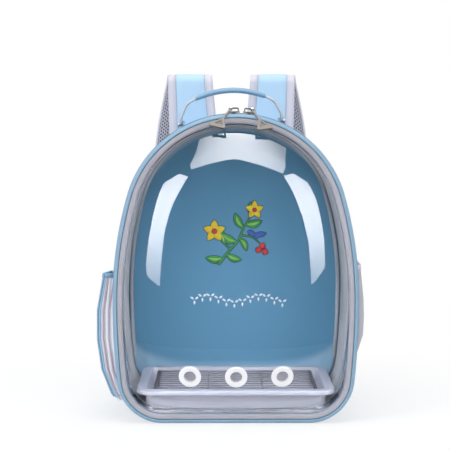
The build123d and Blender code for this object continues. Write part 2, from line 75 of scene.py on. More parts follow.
# ---- the arch-shaped outline ---------------------------------------------------
def arch_runs():
    """The outline as arcs and lines, counter-clockwise from the middle of the base."""
    half = BODY_WIDTH / 2
    crown_r = half - SHOULDER_TAPER
    crown_z = BODY_HEIGHT - crown_r
    side_r = (half ** 2 + (crown_z - WIDEST_HEIGHT) ** 2 - crown_r ** 2) / (2 * SHOULDER_TAPER)
    side_x = half - side_r
    shoulder = math.atan2(crown_z - WIDEST_HEIGHT, -side_x)
    lower_x = half - LOWER_SIDE_RADIUS
    foot_x = lower_x + math.sqrt((LOWER_SIDE_RADIUS - CORNER_RADIUS) ** 2
                                 - (WIDEST_HEIGHT - CORNER_RADIUS) ** 2)
    low = math.atan2(WIDEST_HEIGHT - CORNER_RADIUS, foot_x - lower_x)
    pi = math.pi
    arcs = [
        (foot_x, CORNER_RADIUS, CORNER_RADIUS, -pi / 2, -low),
        (lower_x, WIDEST_HEIGHT, LOWER_SIDE_RADIUS, -low, 0.0),
        (side_x, WIDEST_HEIGHT, side_r, 0.0, shoulder),
        (0.0, crown_z, crown_r, shoulder, pi - shoulder),
        (-side_x, WIDEST_HEIGHT, side_r, pi - shoulder, pi),
        (-lower_x, WIDEST_HEIGHT, LOWER_SIDE_RADIUS, pi, pi + low),
        (-foot_x, CORNER_RADIUS, CORNER_RADIUS, pi + low, 1.5 * pi),
    ]
    return foot_x, arcs


FOOT_X, ARCS = arch_runs()
ARCH_LENGTH = 2 * FOOT_X + sum(r * (a1 - a0) for _, _, r, a0, a1 in ARCS)
CROWN_RADIUS = BODY_WIDTH / 2 - SHOULDER_TAPER
CROWN_Z = BODY_HEIGHT - CROWN_RADIUS


def arch_at(s):
    """The point at length s along the outline and its inward normal: x, z, nx, nz."""
    s = s % ARCH_LENGTH
    if s <= FOOT_X:
        return s, 0.0, 0.0, 1.0
    s -= FOOT_X
    for cx, cz, r, a0, a1 in ARCS:
        run = r * (a1 - a0)
        if s <= run:
            a = a0 + s / r
            return cx + r * math.cos(a), cz + r * math.sin(a), -math.cos(a), -math.sin(a)
        s -= run
    return s - FOOT_X, 0.0, 0.0, 1.0


def on_arch(s, inset, y):
    """A point at length s, drawn in from the outline, at depth y."""
    x, z, nx, nz = arch_at(s)
    return Vector((x + nx * inset, y, z + nz * inset))


def length_at_height(height, inset=0.0):
    """The length along the right side at which the inset outline reaches a height."""
    lo, hi = 0.0, ARCH_LENGTH / 2
    for _ in range(50):
        mid = (lo + hi) / 2
        if on_arch(mid, inset, 0).z < height:
            lo = mid
        else:
            hi = mid
    return lo


def steps(a, b, step):
    """Evenly spaced values from a to b, both included."""
    n = max(2, round(abs(b - a) / step))
    return [a + (b - a) * i / n for i in range(n + 1)]


def round_arch(step):
    """Evenly spaced lengths right round the closed outline."""
    n = round(ARCH_LENGTH / step)
    return [ARCH_LENGTH * i / n for i in range(n)]


def ripple(a, b, size, seed=0.0):
    """Smooth seeded noise from about -1 to 1 over lengths a and b."""
    return noise.noise(Vector((a / size, b / size, seed * 7.31 + 0.37)))


# ---- mesh helpers -----------------------------------------------------------------
def link(obj):
    bpy.context.scene.collection.objects.link(obj)
    return obj


def mesh_piece(name, verts, faces, uvs=None):
    """A mesh object with smooth faces and, where given, a UV for each face corner."""
    mesh = bpy.data.meshes.new(name)
    mesh.from_pydata([tuple(v) for v in verts], [], faces)
    mesh.polygons.foreach_set("use_smooth", [True] * len(mesh.polygons))
    if uvs is not None:
        layer = mesh.uv_layers.new(name="UVMap")
        layer.data.foreach_set("uv", [c for face in uvs for uv in face for c in uv])
    mesh.validate()
    mesh.update()
    return link(bpy.data.objects.new(name, mesh))


def walk(points):
    total = [0.0]
    for a, b in zip(points, points[1:]):
        total.append(total[-1] + (Vector(b) - Vector(a)).length)
    return total


def grid(name, rows, loop_u=False, loop_v=False, centre=None, cap=False):
    """A sheet or tube through rows of points, with UVs in metres."""
    nu, nv = len(rows), len(rows[0])
    along = walk([row[0] for row in rows] + ([rows[0][0]] if loop_u else []))
    middle = rows[nu // 2]
    across = walk(list(middle) + ([middle[0]] if loop_v else []))
    verts = [p for row in rows for p in row]
    faces, uvs = [], []
    for i in range(nu if loop_u else nu - 1):
        for j in range(nv if loop_v else nv - 1):
            k, m = (i + 1) % nu, (j + 1) % nv
            faces.append((i * nv + j, k * nv + j, k * nv + m, i * nv + m))
            uvs.append(((along[i], across[j]), (along[i + 1], across[j]),
                        (along[i + 1], across[j + 1]), (along[i], across[j + 1])))
    if cap:
        faces.append(tuple(range(nv)))
        faces.append(tuple((nu - 1) * nv + j for j in reversed(range(nv))))
        uvs.append(tuple((0.0, across[j]) for j in range(nv)))
        uvs.append(tuple((along[nu - 1], across[j]) for j in reversed(range(nv))))
    if centre is not None:
        hub = len(verts)
        verts.append(centre)
        for j in range(nv if loop_v else nv - 1):
            m = (j + 1) % nv
            faces.append(((nu - 1) * nv + j, hub, (nu - 1) * nv + m))
            uvs.append(((along[-1], across[j]), (along[-1], across[j]), (along[-1], across[j + 1])))
    return mesh_piece(name, verts, faces, uvs)


def outward(obj):
    """Turn the faces of a closed mesh to point out."""
    work = bmesh.new()
    work.from_mesh(obj.data)
    bmesh.ops.recalc_face_normals(work, faces=work.faces)
    work.to_mesh(obj.data)
    work.free()
    return obj


def settle(obj):
    """Apply every modifier to the mesh."""
    graph = bpy.context.evaluated_depsgraph_get()
    mesh = bpy.data.meshes.new_from_object(obj.evaluated_get(graph))
    obj.modifiers.clear()
    obj.data = mesh
    return obj


def thicken(obj, thickness):
    solid = obj.modifiers.new("thickness", "SOLIDIFY")
    solid.thickness = thickness
    solid.offset = 0.0
    solid.use_even_offset = True
    return outward(settle(obj))


def rounded_run(points, radius, step=3 * MM):
    """Points along a 2D run whose corners are rounded, about step apart."""
    pts = [Vector(p) for p in points]
    radii = radius if isinstance(radius, (list, tuple)) else [radius] * (len(pts) - 2)
    path = [pts[0]]
    for before, at, after, r in zip(pts, pts[1:], pts[2:], radii):
        a, b = (before - at).normalized(), (after - at).normalized()
        turn = math.pi - a.angle(b)
        if turn < 1e-4:
            continue
        cut = r * math.tan(turn / 2)
        cut = min(cut, 0.49 * (before - at).length, 0.49 * (after - at).length)
        r_here = cut / math.tan(turn / 2)
        start, end = at + a * cut, at + b * cut
        hub = at + (a + b).normalized() * math.hypot(r_here, cut)
        n = max(4, round(r_here * turn / (step / 2)))
        v0, v1 = start - hub, end - hub
        for i in range(n + 1):
            t = i / n
            way = (v0 * math.sin((1 - t) * turn) + v1 * math.sin(t * turn)) / math.sin(turn) \
                if turn < 3.1 else v0.lerp(v1, t)
            path.append(hub + way)
    path.append(pts[-1])
    dense = [path[0]]
    for p in path[1:]:
        gap = (p - dense[-1]).length
        if gap < 1e-6:
            continue
        start = dense[-1]
        n = max(1, round(gap / step))
        for i in range(1, n + 1):
            dense.append(start.lerp(p, i / n))
    return dense


def tangents(points, closed=False):
    out = []
    n = len(points)
    for i in range(n):
        a = points[(i - 1) % n] if closed or i else points[0]
        b = points[(i + 1) % n] if closed or i < n - 1 else points[-1]
        out.append((b - a).normalized())
    return out


def tube_rows(path, radius, sides=8, closed=False, up=Vector((0, 1, 0))):
    """Rings of points round a 3D path. radius is a number or one for each point."""
    rows = []
    side = None
    for i, (p, t) in enumerate(zip(path, tangents(path, closed))):
        r = radius[i] if isinstance(radius, (list, tuple)) else radius
        seed = up if side is None else side
        side = (seed - t * seed.dot(t)).normalized()
        over = t.cross(side)
        rows.append([p + side * (math.cos(a) * r) + over * (math.sin(a) * r)
                     for a in (2 * math.pi * k / sides for k in range(sides))])
    return rows


def tube(name, path, radius, sides=8, closed=False):
    rows = tube_rows(path, radius, sides, closed)
    return outward(grid(name, rows, loop_u=closed, loop_v=True, cap=not closed))


def ring_faces(rings, n, base=0):
    """Quads that join rings of n points each, from the vertex numbered base."""
    return [(base + i * n + j, base + i * n + (j + 1) % n,
             base + (i + 1) * n + (j + 1) % n, base + (i + 1) * n + j)
            for i in range(rings - 1) for j in range(n)]


def join_parts(name, parts):
    """One mesh from (verts, faces) pairs, with UVs from the flat position."""
    verts, faces = [], []
    for part_verts, part_faces in parts:
        base = len(verts)
        verts.extend(part_verts)
        faces.extend(tuple(base + i for i in face) for face in part_faces)
    uvs = [tuple((verts[i][0] + verts[i][1], verts[i][2]) for i in face) for face in faces]
    return outward(mesh_piece(name, verts, faces, uvs))


def spindle(a, b, radius):
    """One thread stitch from a to b, thickest in its middle."""
    t = (b - a).normalized()
    side = t.cross(Vector((0.3, 0.8, 0.52))).normalized()
    over = t.cross(side)
    verts = [a]
    for f, k in ((0.22, 0.9), (0.78, 0.9)):
        c = a.lerp(b, f)
        verts += [c + (side * math.cos(q) + over * math.sin(q)) * radius * k
                  for q in (0, 1.2566, 2.5133, 3.7699, 5.0265)]
    verts.append(b)
    faces = []
    for i in range(5):
        j = (i + 1) % 5
        faces += [(0, 1 + j, 1 + i), (1 + i, 1 + j, 6 + j, 6 + i), (6 + i, 6 + j, 11)]
    return verts, faces


def resample(points, spacing):
    """Points at even spacing along a polyline."""
    out, carry = [points[0]], 0.0
    for a, b in zip(points, points[1:]):
        length = (b - a).length
        at = spacing - carry
        while at <= length:
            out.append(a.lerp(b, at / length))
            at += spacing
        carry = (carry + length) % spacing if length else carry
    return out


def stitch_parts(points, length=3.0 * MM, gap=1.4 * MM, radius=0.32 * MM):
    run = resample(points, length + gap)
    share = length / (length + gap)
    return [spindle(a, a.lerp(b, share), radius) for a, b in zip(run, run[1:])]


def dress(obj, body, material, replaced=()):
    """Ride a piece on its body, give it its material and hide the frame parts that it replaces."""
    obj.data.materials.clear()
    obj.data.materials.append(material)
    if replaced:
        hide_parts(*replaced)
    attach(obj, body)
    return obj


# ---- shader node groups ------------------------------------------------------------
def put(tree, kind, inputs=None, **attributes):
    """Add a node, set its attributes, and link or set its inputs."""
    node = tree.nodes.new(kind)
    for key, value in attributes.items():
        setattr(node, key, value)
    for key, value in (inputs or {}).items():
        if isinstance(value, bpy.types.NodeSocket):
            tree.links.new(value, node.inputs[key])
        else:
            node.inputs[key].default_value = value
    return node


def calc(tree, operation, a, b=None, c=None):
    """A Math node's output."""
    inputs = {0: a}
    if b is not None:
        inputs[1] = b
    if c is not None:
        inputs[2] = c
    return put(tree, "ShaderNodeMath", inputs, operation=operation).outputs[0]


def blend_colours(tree, share, a, b):
    node = tree.nodes.new("ShaderNodeMix")
    node.data_type = "RGBA"
    for index, value in ((0, share), (6, a), (7, b)):
        if isinstance(value, bpy.types.NodeSocket):
            tree.links.new(value, node.inputs[index])
        else:
            node.inputs[index].default_value = value
    return node.outputs[2]


def start_group(name, inputs, outputs):
    """An empty shader group with named sockets, or None if it is there already."""
    if name in bpy.data.node_groups:
        return None, None, None
    group = bpy.data.node_groups.new(name, "ShaderNodeTree")
    for label, kind, value in inputs:
        socket = group.interface.new_socket(label, in_out="INPUT", socket_type=kind)
        if value is not None:
            socket.default_value = value
    for label, kind in outputs:
        group.interface.new_socket(label, in_out="OUTPUT", socket_type=kind)
    source = group.nodes.new("NodeGroupInput")
    sink = group.nodes.new("NodeGroupOutput")
    return group, source.outputs, sink.inputs


VECTOR, FLOAT, COLOUR = "NodeSocketVector", "NodeSocketFloat", "NodeSocketColor"


def make_weave_group():
    """Plain woven cloth: over-and-under threads with a soft uneven dye, the valleys between threads
    painted darker as painted shade.
    """
    group, given, result = start_group("woven_cloth", [
        ("Vector", VECTOR, None), ("Pitch", FLOAT, 0.001), ("Light", COLOUR, (0.5, 0.7, 0.9, 1)),
        ("Dark", COLOUR, (0.3, 0.5, 0.7, 1)), ("Depth", FLOAT, 0.5), ("Mottle", FLOAT, 0.2),
        ("Patch", FLOAT, 0.05), ("Fade", COLOUR, (0.5, 0.7, 0.9, 1)), ("Fade Full", FLOAT, -2.0),
        ("Fade End", FLOAT, -1.0), ("Fade Curl", FLOAT, 0.0)],
        [("Color", COLOUR), ("Roughness", FLOAT), ("Height", FLOAT)])
    if group is None:
        return
    count = calc(group, "DIVIDE", 1.0, given["Pitch"])
    scaled = put(group, "ShaderNodeVectorMath", {0: given["Vector"], "Scale": count},
                 operation="SCALE").outputs[0]
    parts = put(group, "ShaderNodeSeparateXYZ", {0: scaled}).outputs
    u = calc(group, "ADD", parts[0], calc(group, "MULTIPLY", parts[2], 0.37))
    v = calc(group, "ADD", parts[1], calc(group, "MULTIPLY", parts[2], 0.93))
    humps = [calc(group, "SINE", calc(group, "MULTIPLY", calc(group, "FRACT", w), math.pi))
             for w in (u, v)]
    parity = calc(group, "MODULO", calc(group, "ADD", calc(group, "FLOOR", u),
                                        calc(group, "FLOOR", v)), 2.0)
    parity = calc(group, "ABSOLUTE", parity)
    warp = calc(group, "MULTIPLY", humps[0], calc(group, "MULTIPLY_ADD", parity, 0.45, 0.55))
    weft = calc(group, "MULTIPLY", humps[1], calc(group, "MULTIPLY_ADD", parity, -0.45, 1.0))
    height = calc(group, "MAXIMUM", warp, weft)
    patch = calc(group, "DIVIDE", 1.0, given["Patch"])
    cloud = put(group, "ShaderNodeTexNoise", {"Vector": given["Vector"], "Scale": patch,
                                              "Detail": 3.0, "Roughness": 0.55}).outputs["Fac"]
    shade = calc(group, "MULTIPLY", calc(group, "SUBTRACT", cloud, 0.5), given["Mottle"])
    # Painted shade: the low parts of the weave, between the threads, take the Dark colour.
    share = calc(group, "MULTIPLY", calc(group, "SUBTRACT", height, 1.0), given["Depth"])
    share = calc(group, "ADD", calc(group, "ADD", share, 1.0), shade)
    share = put(group, "ShaderNodeClamp", {0: share}).outputs[0]
    # Towards the floor the colours blend into Fade: a lighter tone that is partly painted light from
    # above on the fold's forward curl, partly the fold's own lighter blue.
    at = put(group, "ShaderNodeSeparateXYZ",
             {0: put(group, "ShaderNodeTexCoord").outputs["Object"]}).outputs
    curl = calc(group, "MULTIPLY", calc(group, "POWER", calc(group, "ABSOLUTE", at[0]), 4.0),
                given["Fade Curl"])
    tall = calc(group, "SUBTRACT", at[2], curl)
    fade = put(group, "ShaderNodeMapRange", {"Value": tall, "From Min": given["Fade Full"],
                                             "From Max": given["Fade End"], "To Min": 1.0,
                                             "To Max": 0.0},
               interpolation_type="SMOOTHSTEP").outputs[0]
    dark = blend_colours(group, fade, given["Dark"],
                         blend_colours(group, 0.6, given["Dark"], given["Fade"]))
    light = blend_colours(group, fade, given["Light"], given["Fade"])
    group.links.new(blend_colours(group, share, dark, light), result["Color"])
    group.links.new(calc(group, "MULTIPLY_ADD", height, -0.18, 0.88), result["Roughness"])
    group.links.new(height, result["Height"])


def make_air_mesh_group():
    """Knitted mesh: staggered holes between soft threads, the holes coloured with painted shade."""
    group, given, result = start_group("knitted_mesh", [
        ("Vector", VECTOR, None), ("Pitch", FLOAT, 0.003), ("Thread", COLOUR, (0.7, 0.7, 0.75, 1)),
        ("Hole", COLOUR, (0.1, 0.1, 0.12, 1)), ("Hole Size", FLOAT, 0.3)],
        [("Color", COLOUR), ("Solid", FLOAT), ("Height", FLOAT)])
    if group is None:
        return
    count = calc(group, "DIVIDE", 1.0, given["Pitch"])
    scaled = put(group, "ShaderNodeVectorMath", {0: given["Vector"], "Scale": count},
                 operation="SCALE").outputs[0]
    parts = put(group, "ShaderNodeSeparateXYZ", {0: scaled}).outputs
    row = calc(group, "FLOOR", calc(group, "MULTIPLY", parts[1], 1.6))
    shift = calc(group, "MULTIPLY", calc(group, "ABSOLUTE", calc(group, "MODULO", row, 2.0)), 0.5)
    u = calc(group, "SUBTRACT", calc(group, "FRACT", calc(group, "ADD", parts[0], shift)), 0.5)
    v = calc(group, "SUBTRACT", calc(group, "FRACT", calc(group, "MULTIPLY", parts[1], 1.6)), 0.5)
    distance = calc(group, "ADD", calc(group, "ABSOLUTE", u),
                    calc(group, "MULTIPLY", calc(group, "ABSOLUTE", v), 0.8))
    solid = put(group, "ShaderNodeMapRange", {
        "Value": distance, "From Min": given["Hole Size"],
        "From Max": calc(group, "ADD", given["Hole Size"], 0.14)},
        interpolation_type="SMOOTHSTEP").outputs[0]
    # Painted shade: the Hole colour darkens the holes, where the layers beneath lie in shade.
    group.links.new(blend_colours(group, solid, given["Hole"], given["Thread"]), result["Color"])
    group.links.new(solid, result["Solid"])
    group.links.new(solid, result["Height"])


def make_grain_group():
    """Fine moulded or cast grain with a slow change of tone."""
    group, given, result = start_group("fine_grain", [
        ("Vector", VECTOR, None), ("Size", FLOAT, 0.002), ("Light", COLOUR, (0.8, 0.8, 0.85, 1)),
        ("Dark", COLOUR, (0.7, 0.7, 0.75, 1)), ("Gloss", FLOAT, 0.3)],
        [("Color", COLOUR), ("Roughness", FLOAT), ("Height", FLOAT)])
    if group is None:
        return
    count = calc(group, "DIVIDE", 1.0, given["Size"])
    fine = put(group, "ShaderNodeTexNoise", {"Vector": given["Vector"], "Scale": count,
                                             "Detail": 2.0}).outputs["Fac"]
    slow = put(group, "ShaderNodeTexNoise", {"Vector": given["Vector"], "Scale": 18.0,
                                             "Detail": 2.0}).outputs["Fac"]
    mixed = calc(group, "MULTIPLY_ADD", fine, 0.35, calc(group, "MULTIPLY", slow, 0.65))
    group.links.new(blend_colours(group, mixed, given["Dark"], given["Light"]), result["Color"])
    rough = calc(group, "MULTIPLY_ADD", calc(group, "SUBTRACT", fine, 0.5), 0.16, given["Gloss"])
    group.links.new(rough, result["Roughness"])
    group.links.new(fine, result["Height"])


def grouped(tree, name, inputs):
    return put(tree, "ShaderNodeGroup", inputs, node_tree=bpy.data.node_groups[name])


def fresh_tree(owner):
    """The node tree of a material or world, emptied."""
    owner.use_nodes = True
    owner.node_tree.nodes.clear()
    return owner.node_tree


def blank_material(name):
    material = bpy.data.materials.new(name)
    tree = fresh_tree(material)
    shader = tree.nodes.new("ShaderNodeBsdfPrincipled")
    out = tree.nodes.new("ShaderNodeOutputMaterial")
    tree.links.new(shader.outputs[0], out.inputs["Surface"])
    return material, tree, shader


def place(tree, use_uv):
    return put(tree, "ShaderNodeTexCoord").outputs["UV" if use_uv else "Object"]


def bumped(tree, shader, height, strength, distance):
    bump = put(tree, "ShaderNodeBump", {"Height": height, "Strength": strength,
                                        "Distance": distance})
    tree.links.new(bump.outputs[0], shader.inputs["Normal"])


def darker(colour, factor):
    return tuple(c * factor for c in colour[:3]) + (1.0,)


def rgb(text):
    """A linear colour from a six-digit screen colour."""
    values = [int(text[i:i + 2], 16) / 255 for i in (0, 2, 4)]
    return tuple(v / 12.92 if v <= 0.04045 else ((v + 0.055) / 1.055) ** 2.4
                 for v in values) + (1.0,)


# CLOTH_SHADE sets how dark the painted shade between threads is.
CLOTH_SHADE = 0.62
CLOTH_SHEEN = 0.15
CLOTH_BUMP = 0.35
GRAIN_SIZE = 0.6 * MM
GRAIN_BUMP = 0.08


def cloth(name, light, pitch=1.0 * MM, depth=0.5, mottle=0.25, patch=0.05, fade=None):
    """Woven fabric. fade gives a colour and the heights where it is full and where it ends; on the
    foot fold this lighter tone is partly painted light.
    """
    material, tree, shader = blank_material(name)
    weave = grouped(tree, "woven_cloth", {
        "Vector": place(tree, True), "Pitch": pitch, "Light": light,
        "Dark": darker(light, CLOTH_SHADE), "Depth": depth, "Mottle": mottle, "Patch": patch,
        **(dict(zip(("Fade", "Fade Full", "Fade End", "Fade Curl"), fade)) if fade else {})})
    tree.links.new(weave.outputs["Color"], shader.inputs["Base Color"])
    tree.links.new(weave.outputs["Roughness"], shader.inputs["Roughness"])
    shader.inputs["Sheen Weight"].default_value = CLOTH_SHEEN
    shader.inputs["Sheen Roughness"].default_value = 0.5
    shader.inputs["Specular IOR Level"].default_value = 0.3
    bumped(tree, shader, weave.outputs["Height"], CLOTH_BUMP, pitch * 0.35)
    return material


def knit(name, thread, hole, pitch=3.0 * MM, size=0.3, see_through=False):
    """Air mesh or net; hole is the painted shade in its holes. See-through net has real gaps by Alpha.
    """
    material, tree, shader = blank_material(name)
    mesh = grouped(tree, "knitted_mesh", {
        "Vector": place(tree, True), "Pitch": pitch, "Thread": thread, "Hole": hole,
        "Hole Size": size})
    tree.links.new(mesh.outputs["Color"], shader.inputs["Base Color"])
    if see_through:
        tree.links.new(mesh.outputs["Solid"], shader.inputs["Alpha"])
    shader.inputs["Roughness"].default_value = 0.8
    shader.inputs["Specular IOR Level"].default_value = 0.25
    bumped(tree, shader, mesh.outputs["Height"], 0.5, pitch * 0.25)
    return material


def moulded(name, light, gloss=0.3, shade=0.9, metallic=0.0, use_uv=False):
    """Moulded plastic or cast metal."""
    material, tree, shader = blank_material(name)
    grain = grouped(tree, "fine_grain", {
        "Vector": place(tree, use_uv), "Size": GRAIN_SIZE, "Light": light,
        "Dark": darker(light, shade), "Gloss": gloss})
    tree.links.new(grain.outputs["Color"], shader.inputs["Base Color"])
    tree.links.new(grain.outputs["Roughness"], shader.inputs["Roughness"])
    shader.inputs["Metallic"].default_value = metallic
    bumped(tree, shader, grain.outputs["Height"], GRAIN_BUMP, GRAIN_SIZE * 0.2)
    return material


def film_material(name, tint, roughness, ior):
    """Clear film: plain glass that lets lamp light through to the cabin."""
    material, tree, shader = blank_material(name)
    shader.inputs["Base Color"].default_value = tint
    shader.inputs["Roughness"].default_value = roughness
    shader.inputs["Metallic"].default_value = 0.0
    shader.inputs["Transmission Weight"].default_value = 1.0
    shader.inputs["IOR"].default_value = ior
    clear = put(tree, "ShaderNodeBsdfTransparent", {"Color": (0.95, 0.97, 0.985, 1)})
    path = put(tree, "ShaderNodeLightPath")
    mix = put(tree, "ShaderNodeMixShader", {0: path.outputs["Is Shadow Ray"],
                                            1: shader.outputs[0], 2: clear.outputs[0]})
    out = next(n for n in tree.nodes if n.type == "OUTPUT_MATERIAL")
    tree.links.new(mix.outputs[0], out.inputs["Surface"])
    return material


class CarrierColours(bpy.types.PropertyGroup):
    """The carrier's colours."""
    shell: bpy.props.FloatVectorProperty(
        name="Shell fabric", description="Light blue laminated fabric of the shell",
        subtype="COLOR", size=4, min=0, max=1, default=rgb("7fadd0"))
    trim: bpy.props.FloatVectorProperty(
        name="Trim", description="Light blue welts and edgings",
        subtype="COLOR", size=4, min=0, max=1, default=rgb("88abc5"))
    band: bpy.props.FloatVectorProperty(
        name="Door band", description="Warm grey ribbon that holds the clear film",
        subtype="COLOR", size=4, min=0, max=1, default=rgb("aaacb5"))
    lining: bpy.props.FloatVectorProperty(
        name="Back lining", description="Blue lining seen through the door",
        subtype="COLOR", size=4, min=0, max=1, default=rgb("5389a9"))
    wall_lining: bpy.props.FloatVectorProperty(
        name="Wall lining", description="Grey lining on the inside of the walls",
        subtype="COLOR", size=4, min=0, max=1, default=rgb("a1a5ad"))
    strap: bpy.props.FloatVectorProperty(
        name="Strap facing", description="Sky blue facing of the shoulder straps",
        subtype="COLOR", size=4, min=0, max=1, default=rgb("b5d5ef"))
    mesh: bpy.props.FloatVectorProperty(
        name="Mesh", description="Pale grey thread of the mesh fabrics",
        subtype="COLOR", size=4, min=0, max=1, default=rgb("c3c5d0"))
    tray: bpy.props.FloatVectorProperty(
        name="Tray", description="Pale lavender grey tray plastic",
        subtype="COLOR", size=4, min=0, max=1, default=rgb("c8c8d6"))
    metal: bpy.props.FloatVectorProperty(
        name="Zip metal", description="Warm grey plated metal of sliders and pulls",
        subtype="COLOR", size=4, min=0, max=1, default=rgb("99938c"))


class CarrierSizes(bpy.types.PropertyGroup):
    """Sizes of the carrier's soft surfaces and finishes."""
    weave: bpy.props.FloatProperty(
        name="Weave pitch", description="Spacing of the shell fabric's threads",
        unit="LENGTH", min=0.0002, max=0.005, default=0.9 * MM, precision=5)
    wrinkle: bpy.props.FloatProperty(
        name="Lining folds", description="Deepest fold of the wall lining",
        unit="LENGTH", min=0.0, max=0.02, default=9.0 * MM, precision=4)
    slack: bpy.props.FloatProperty(
        name="Shell slack", description="How far the shell fabric waves in and out",
        unit="LENGTH", min=0.0, max=0.004, default=1.2 * MM, precision=4)
    puff: bpy.props.FloatProperty(
        name="Back pad puff", description="How far the back pad's padding swells",
        unit="LENGTH", min=0.0, max=0.01, default=4.0 * MM, precision=4)
    stitch: bpy.props.FloatProperty(
        name="Stitch length", description="Length of one visible thread stitch",
        unit="LENGTH", min=0.001, max=0.008, default=3.0 * MM, precision=4)


def look():
    return bpy.context.scene.carrier_colours


def sizes():
    return bpy.context.scene.carrier_sizes


MATERIALS = {}


def use(name):
    """A finished material by its maker's name."""
    return MATERIALS[name]


def repaint(material, slot, *nodes):
    """Give CAD pieces a better material in the slots they have."""
    for node in nodes:
        obj = NODES[node]
        if not obj.material_slots:
            obj.data.materials.append(material)
        for s in obj.material_slots:
            s.material = material


class CARRIER_OT_finishes(bpy.types.Operator):
    """Make the node groups and materials that the pieces use"""
    bl_idname = "carrier.finishes"
    bl_label = "Finishes"

    def execute(self, context):
        make_weave_group()
        make_air_mesh_group()
        make_grain_group()
        c, pitch = look(), sizes().weave
        MATERIALS.update({
            "shell": cloth("shell_oxford", tuple(c.shell), pitch),
            "shell_inside": cloth("shell_backing", darker(c.shell, 0.8), pitch),
            "trim": cloth("welt_cloth", tuple(c.trim), 0.7 * MM, depth=0.35, mottle=0.2),
            # Dark blue cloth of the web tape and hinge cord; on the door lip its dark colour is
            # painted shadow in the groove between welt and band.
            "deep_trim_and_groove_shadow": cloth("web_cloth_and_groove_shadow", rgb("62778c"), 0.7 * MM, depth=0.35),
            "band": cloth("band_ribbon", tuple(c.band), 0.8 * MM, depth=0.3, mottle=0.3,
                          patch=0.02),
            "lining": cloth("back_lining_cloth", tuple(c.lining), 0.8 * MM, depth=0.22,
                            mottle=0.22, patch=0.12),
            # The foot fold turns lighter towards the floor: partly painted light from above on its
            # forward curl, partly its own lighter blue.
            "fold": cloth("foot_fold_cloth", tuple(c.lining), 0.8 * MM, depth=0.22, mottle=0.22,
                          patch=0.12, fade=(rgb("86a9c2"), 38 * MM, 54 * MM, 56.0)),
            "wall": cloth("wall_lining_cloth", tuple(c.wall_lining), 0.8 * MM, depth=0.3,
                          mottle=0.5, patch=0.02),
            "tape": cloth("seam_tape_cloth", rgb("a3a7ae"), 0.8 * MM, depth=0.4, mottle=0.3),
            "zip": cloth("zip_tape_cloth", rgb("5c86ab"), 0.6 * MM, depth=0.4),
            "coil": moulded("zip_coil_nylon", rgb("6f93b3"), gloss=0.35, use_uv=True),
            "thread": moulded("stitch_thread", rgb("c4a9b6"), gloss=0.7, use_uv=True),
            "blue_thread": moulded("blue_thread", rgb("7faacd"), gloss=0.7, use_uv=True),
            "strap": cloth("strap_facing_cloth", tuple(c.strap), 0.8 * MM, depth=0.2,
                           mottle=0.12, patch=0.08),
            # The mesh fabrics' hole colours are painted shade; the strap's underside mesh is painted
            # darker still.
            "strap_mesh": knit("strap_air_mesh", tuple(c.mesh), rgb("5d6375"), 4.6 * MM, 0.26),
            "strap_under": knit("strap_under_mesh", rgb("bdbfcc"), rgb("444859"), 5.0 * MM, 0.33),
            "edge": cloth("strap_edge_ribbon", rgb("d6d4df"), 0.9 * MM, depth=0.35),
            "webbing": cloth("ribbed_webbing", rgb("c3c7d1"), 1.5 * MM, depth=0.55, mottle=0.2),
            "net": knit("window_net", rgb("8d95a2"), rgb("3a4150"), 2.4 * MM, 0.3,
                        see_through=True),
            "pocket_net": knit("pocket_net", rgb("c9c9ce"), rgb("80848f"), 2.2 * MM, 0.25),
            "pouch": cloth("pouch_oxford", rgb("a6cbe6"), pitch, depth=0.4),
            "bellows": cloth("bellows_cloth", rgb("efeff4"), 0.9 * MM, depth=0.35, mottle=0.3,
                             patch=0.02),
            "pad": knit("back_air_mesh", rgb("b9bcc6"), rgb("6d7382"), 4.0 * MM, 0.2),
            "back": cloth("back_oxford", darker(c.shell, 0.85), pitch),
            "film": film_material("clear_film", (0.97, 0.985, 1.0, 1.0), 0.01, 1.48),
            "tray": moulded("tray_plastic", tuple(c.tray), gloss=0.36, shade=0.95),
            "white": moulded("white_grommet_plastic", rgb("f2f1f2"), gloss=0.34, shade=0.96),
            "wire": moulded("plated_wire", rgb("86868e"), gloss=0.35, shade=0.75, metallic=0.9),
            "gauze": moulded("steel_gauze", rgb("c3c4ce"), gloss=0.4, shade=0.7, metallic=0.6,
                             use_uv=True),
            "metal": moulded("zip_metal", tuple(c.metal), gloss=0.3, shade=0.8, metallic=0.85),
            "dark_metal": moulded("slider_metal", rgb("6e6a68"), gloss=0.3, metallic=0.9),
            "buckle": moulded("buckle_plastic", rgb("2a2b2f"), gloss=0.42, shade=0.8),
            "board": moulded("board_plastic", rgb("b9bac2"), gloss=0.5, shade=0.85),
            "leaf": cloth("print_leaf", rgb("3f9a4c"), 0.8 * MM, depth=0.25),
            "leaf_light": cloth("print_leaf_light", rgb("8cc05a"), 0.8 * MM, depth=0.25),
            "petal": cloth("print_petal", rgb("e3c62e"), 0.8 * MM, depth=0.2),
            "berry": cloth("print_berry", rgb("cf3a3a"), 0.8 * MM, depth=0.2),
            "bud": cloth("print_bud", rgb("3f62b4"), 0.8 * MM, depth=0.2),
            "ink": cloth("print_ink", rgb("26343c"), 0.8 * MM, depth=0.2),
            "pale_ink": cloth("print_pale_ink", rgb("dfe6ee"), 0.8 * MM, depth=0.15),
        })
        return {"FINISHED"}


# ---- shell ---------------------------------------------------------------------------
def shell_inset(s, y):
    """How far the outer fabric waves in or out at a place on the shell."""
    slack = sizes().slack
    wave = ripple(s, y, 70 * MM, 1) * 0.8 + ripple(s, y, 28 * MM, 2) * 0.3
    edge = min(y - PANEL_FRONT_Y, SHELL_REAR - y)
    ease = max(0.0, min(1.0, edge / (14 * MM)))
    pucker = math.sin(s / (3.1 * MM)) * 0.25 * MM * max(0.0, 1 - edge / (10 * MM))
    return 1.2 * MM + wave * slack * ease * ease + pucker


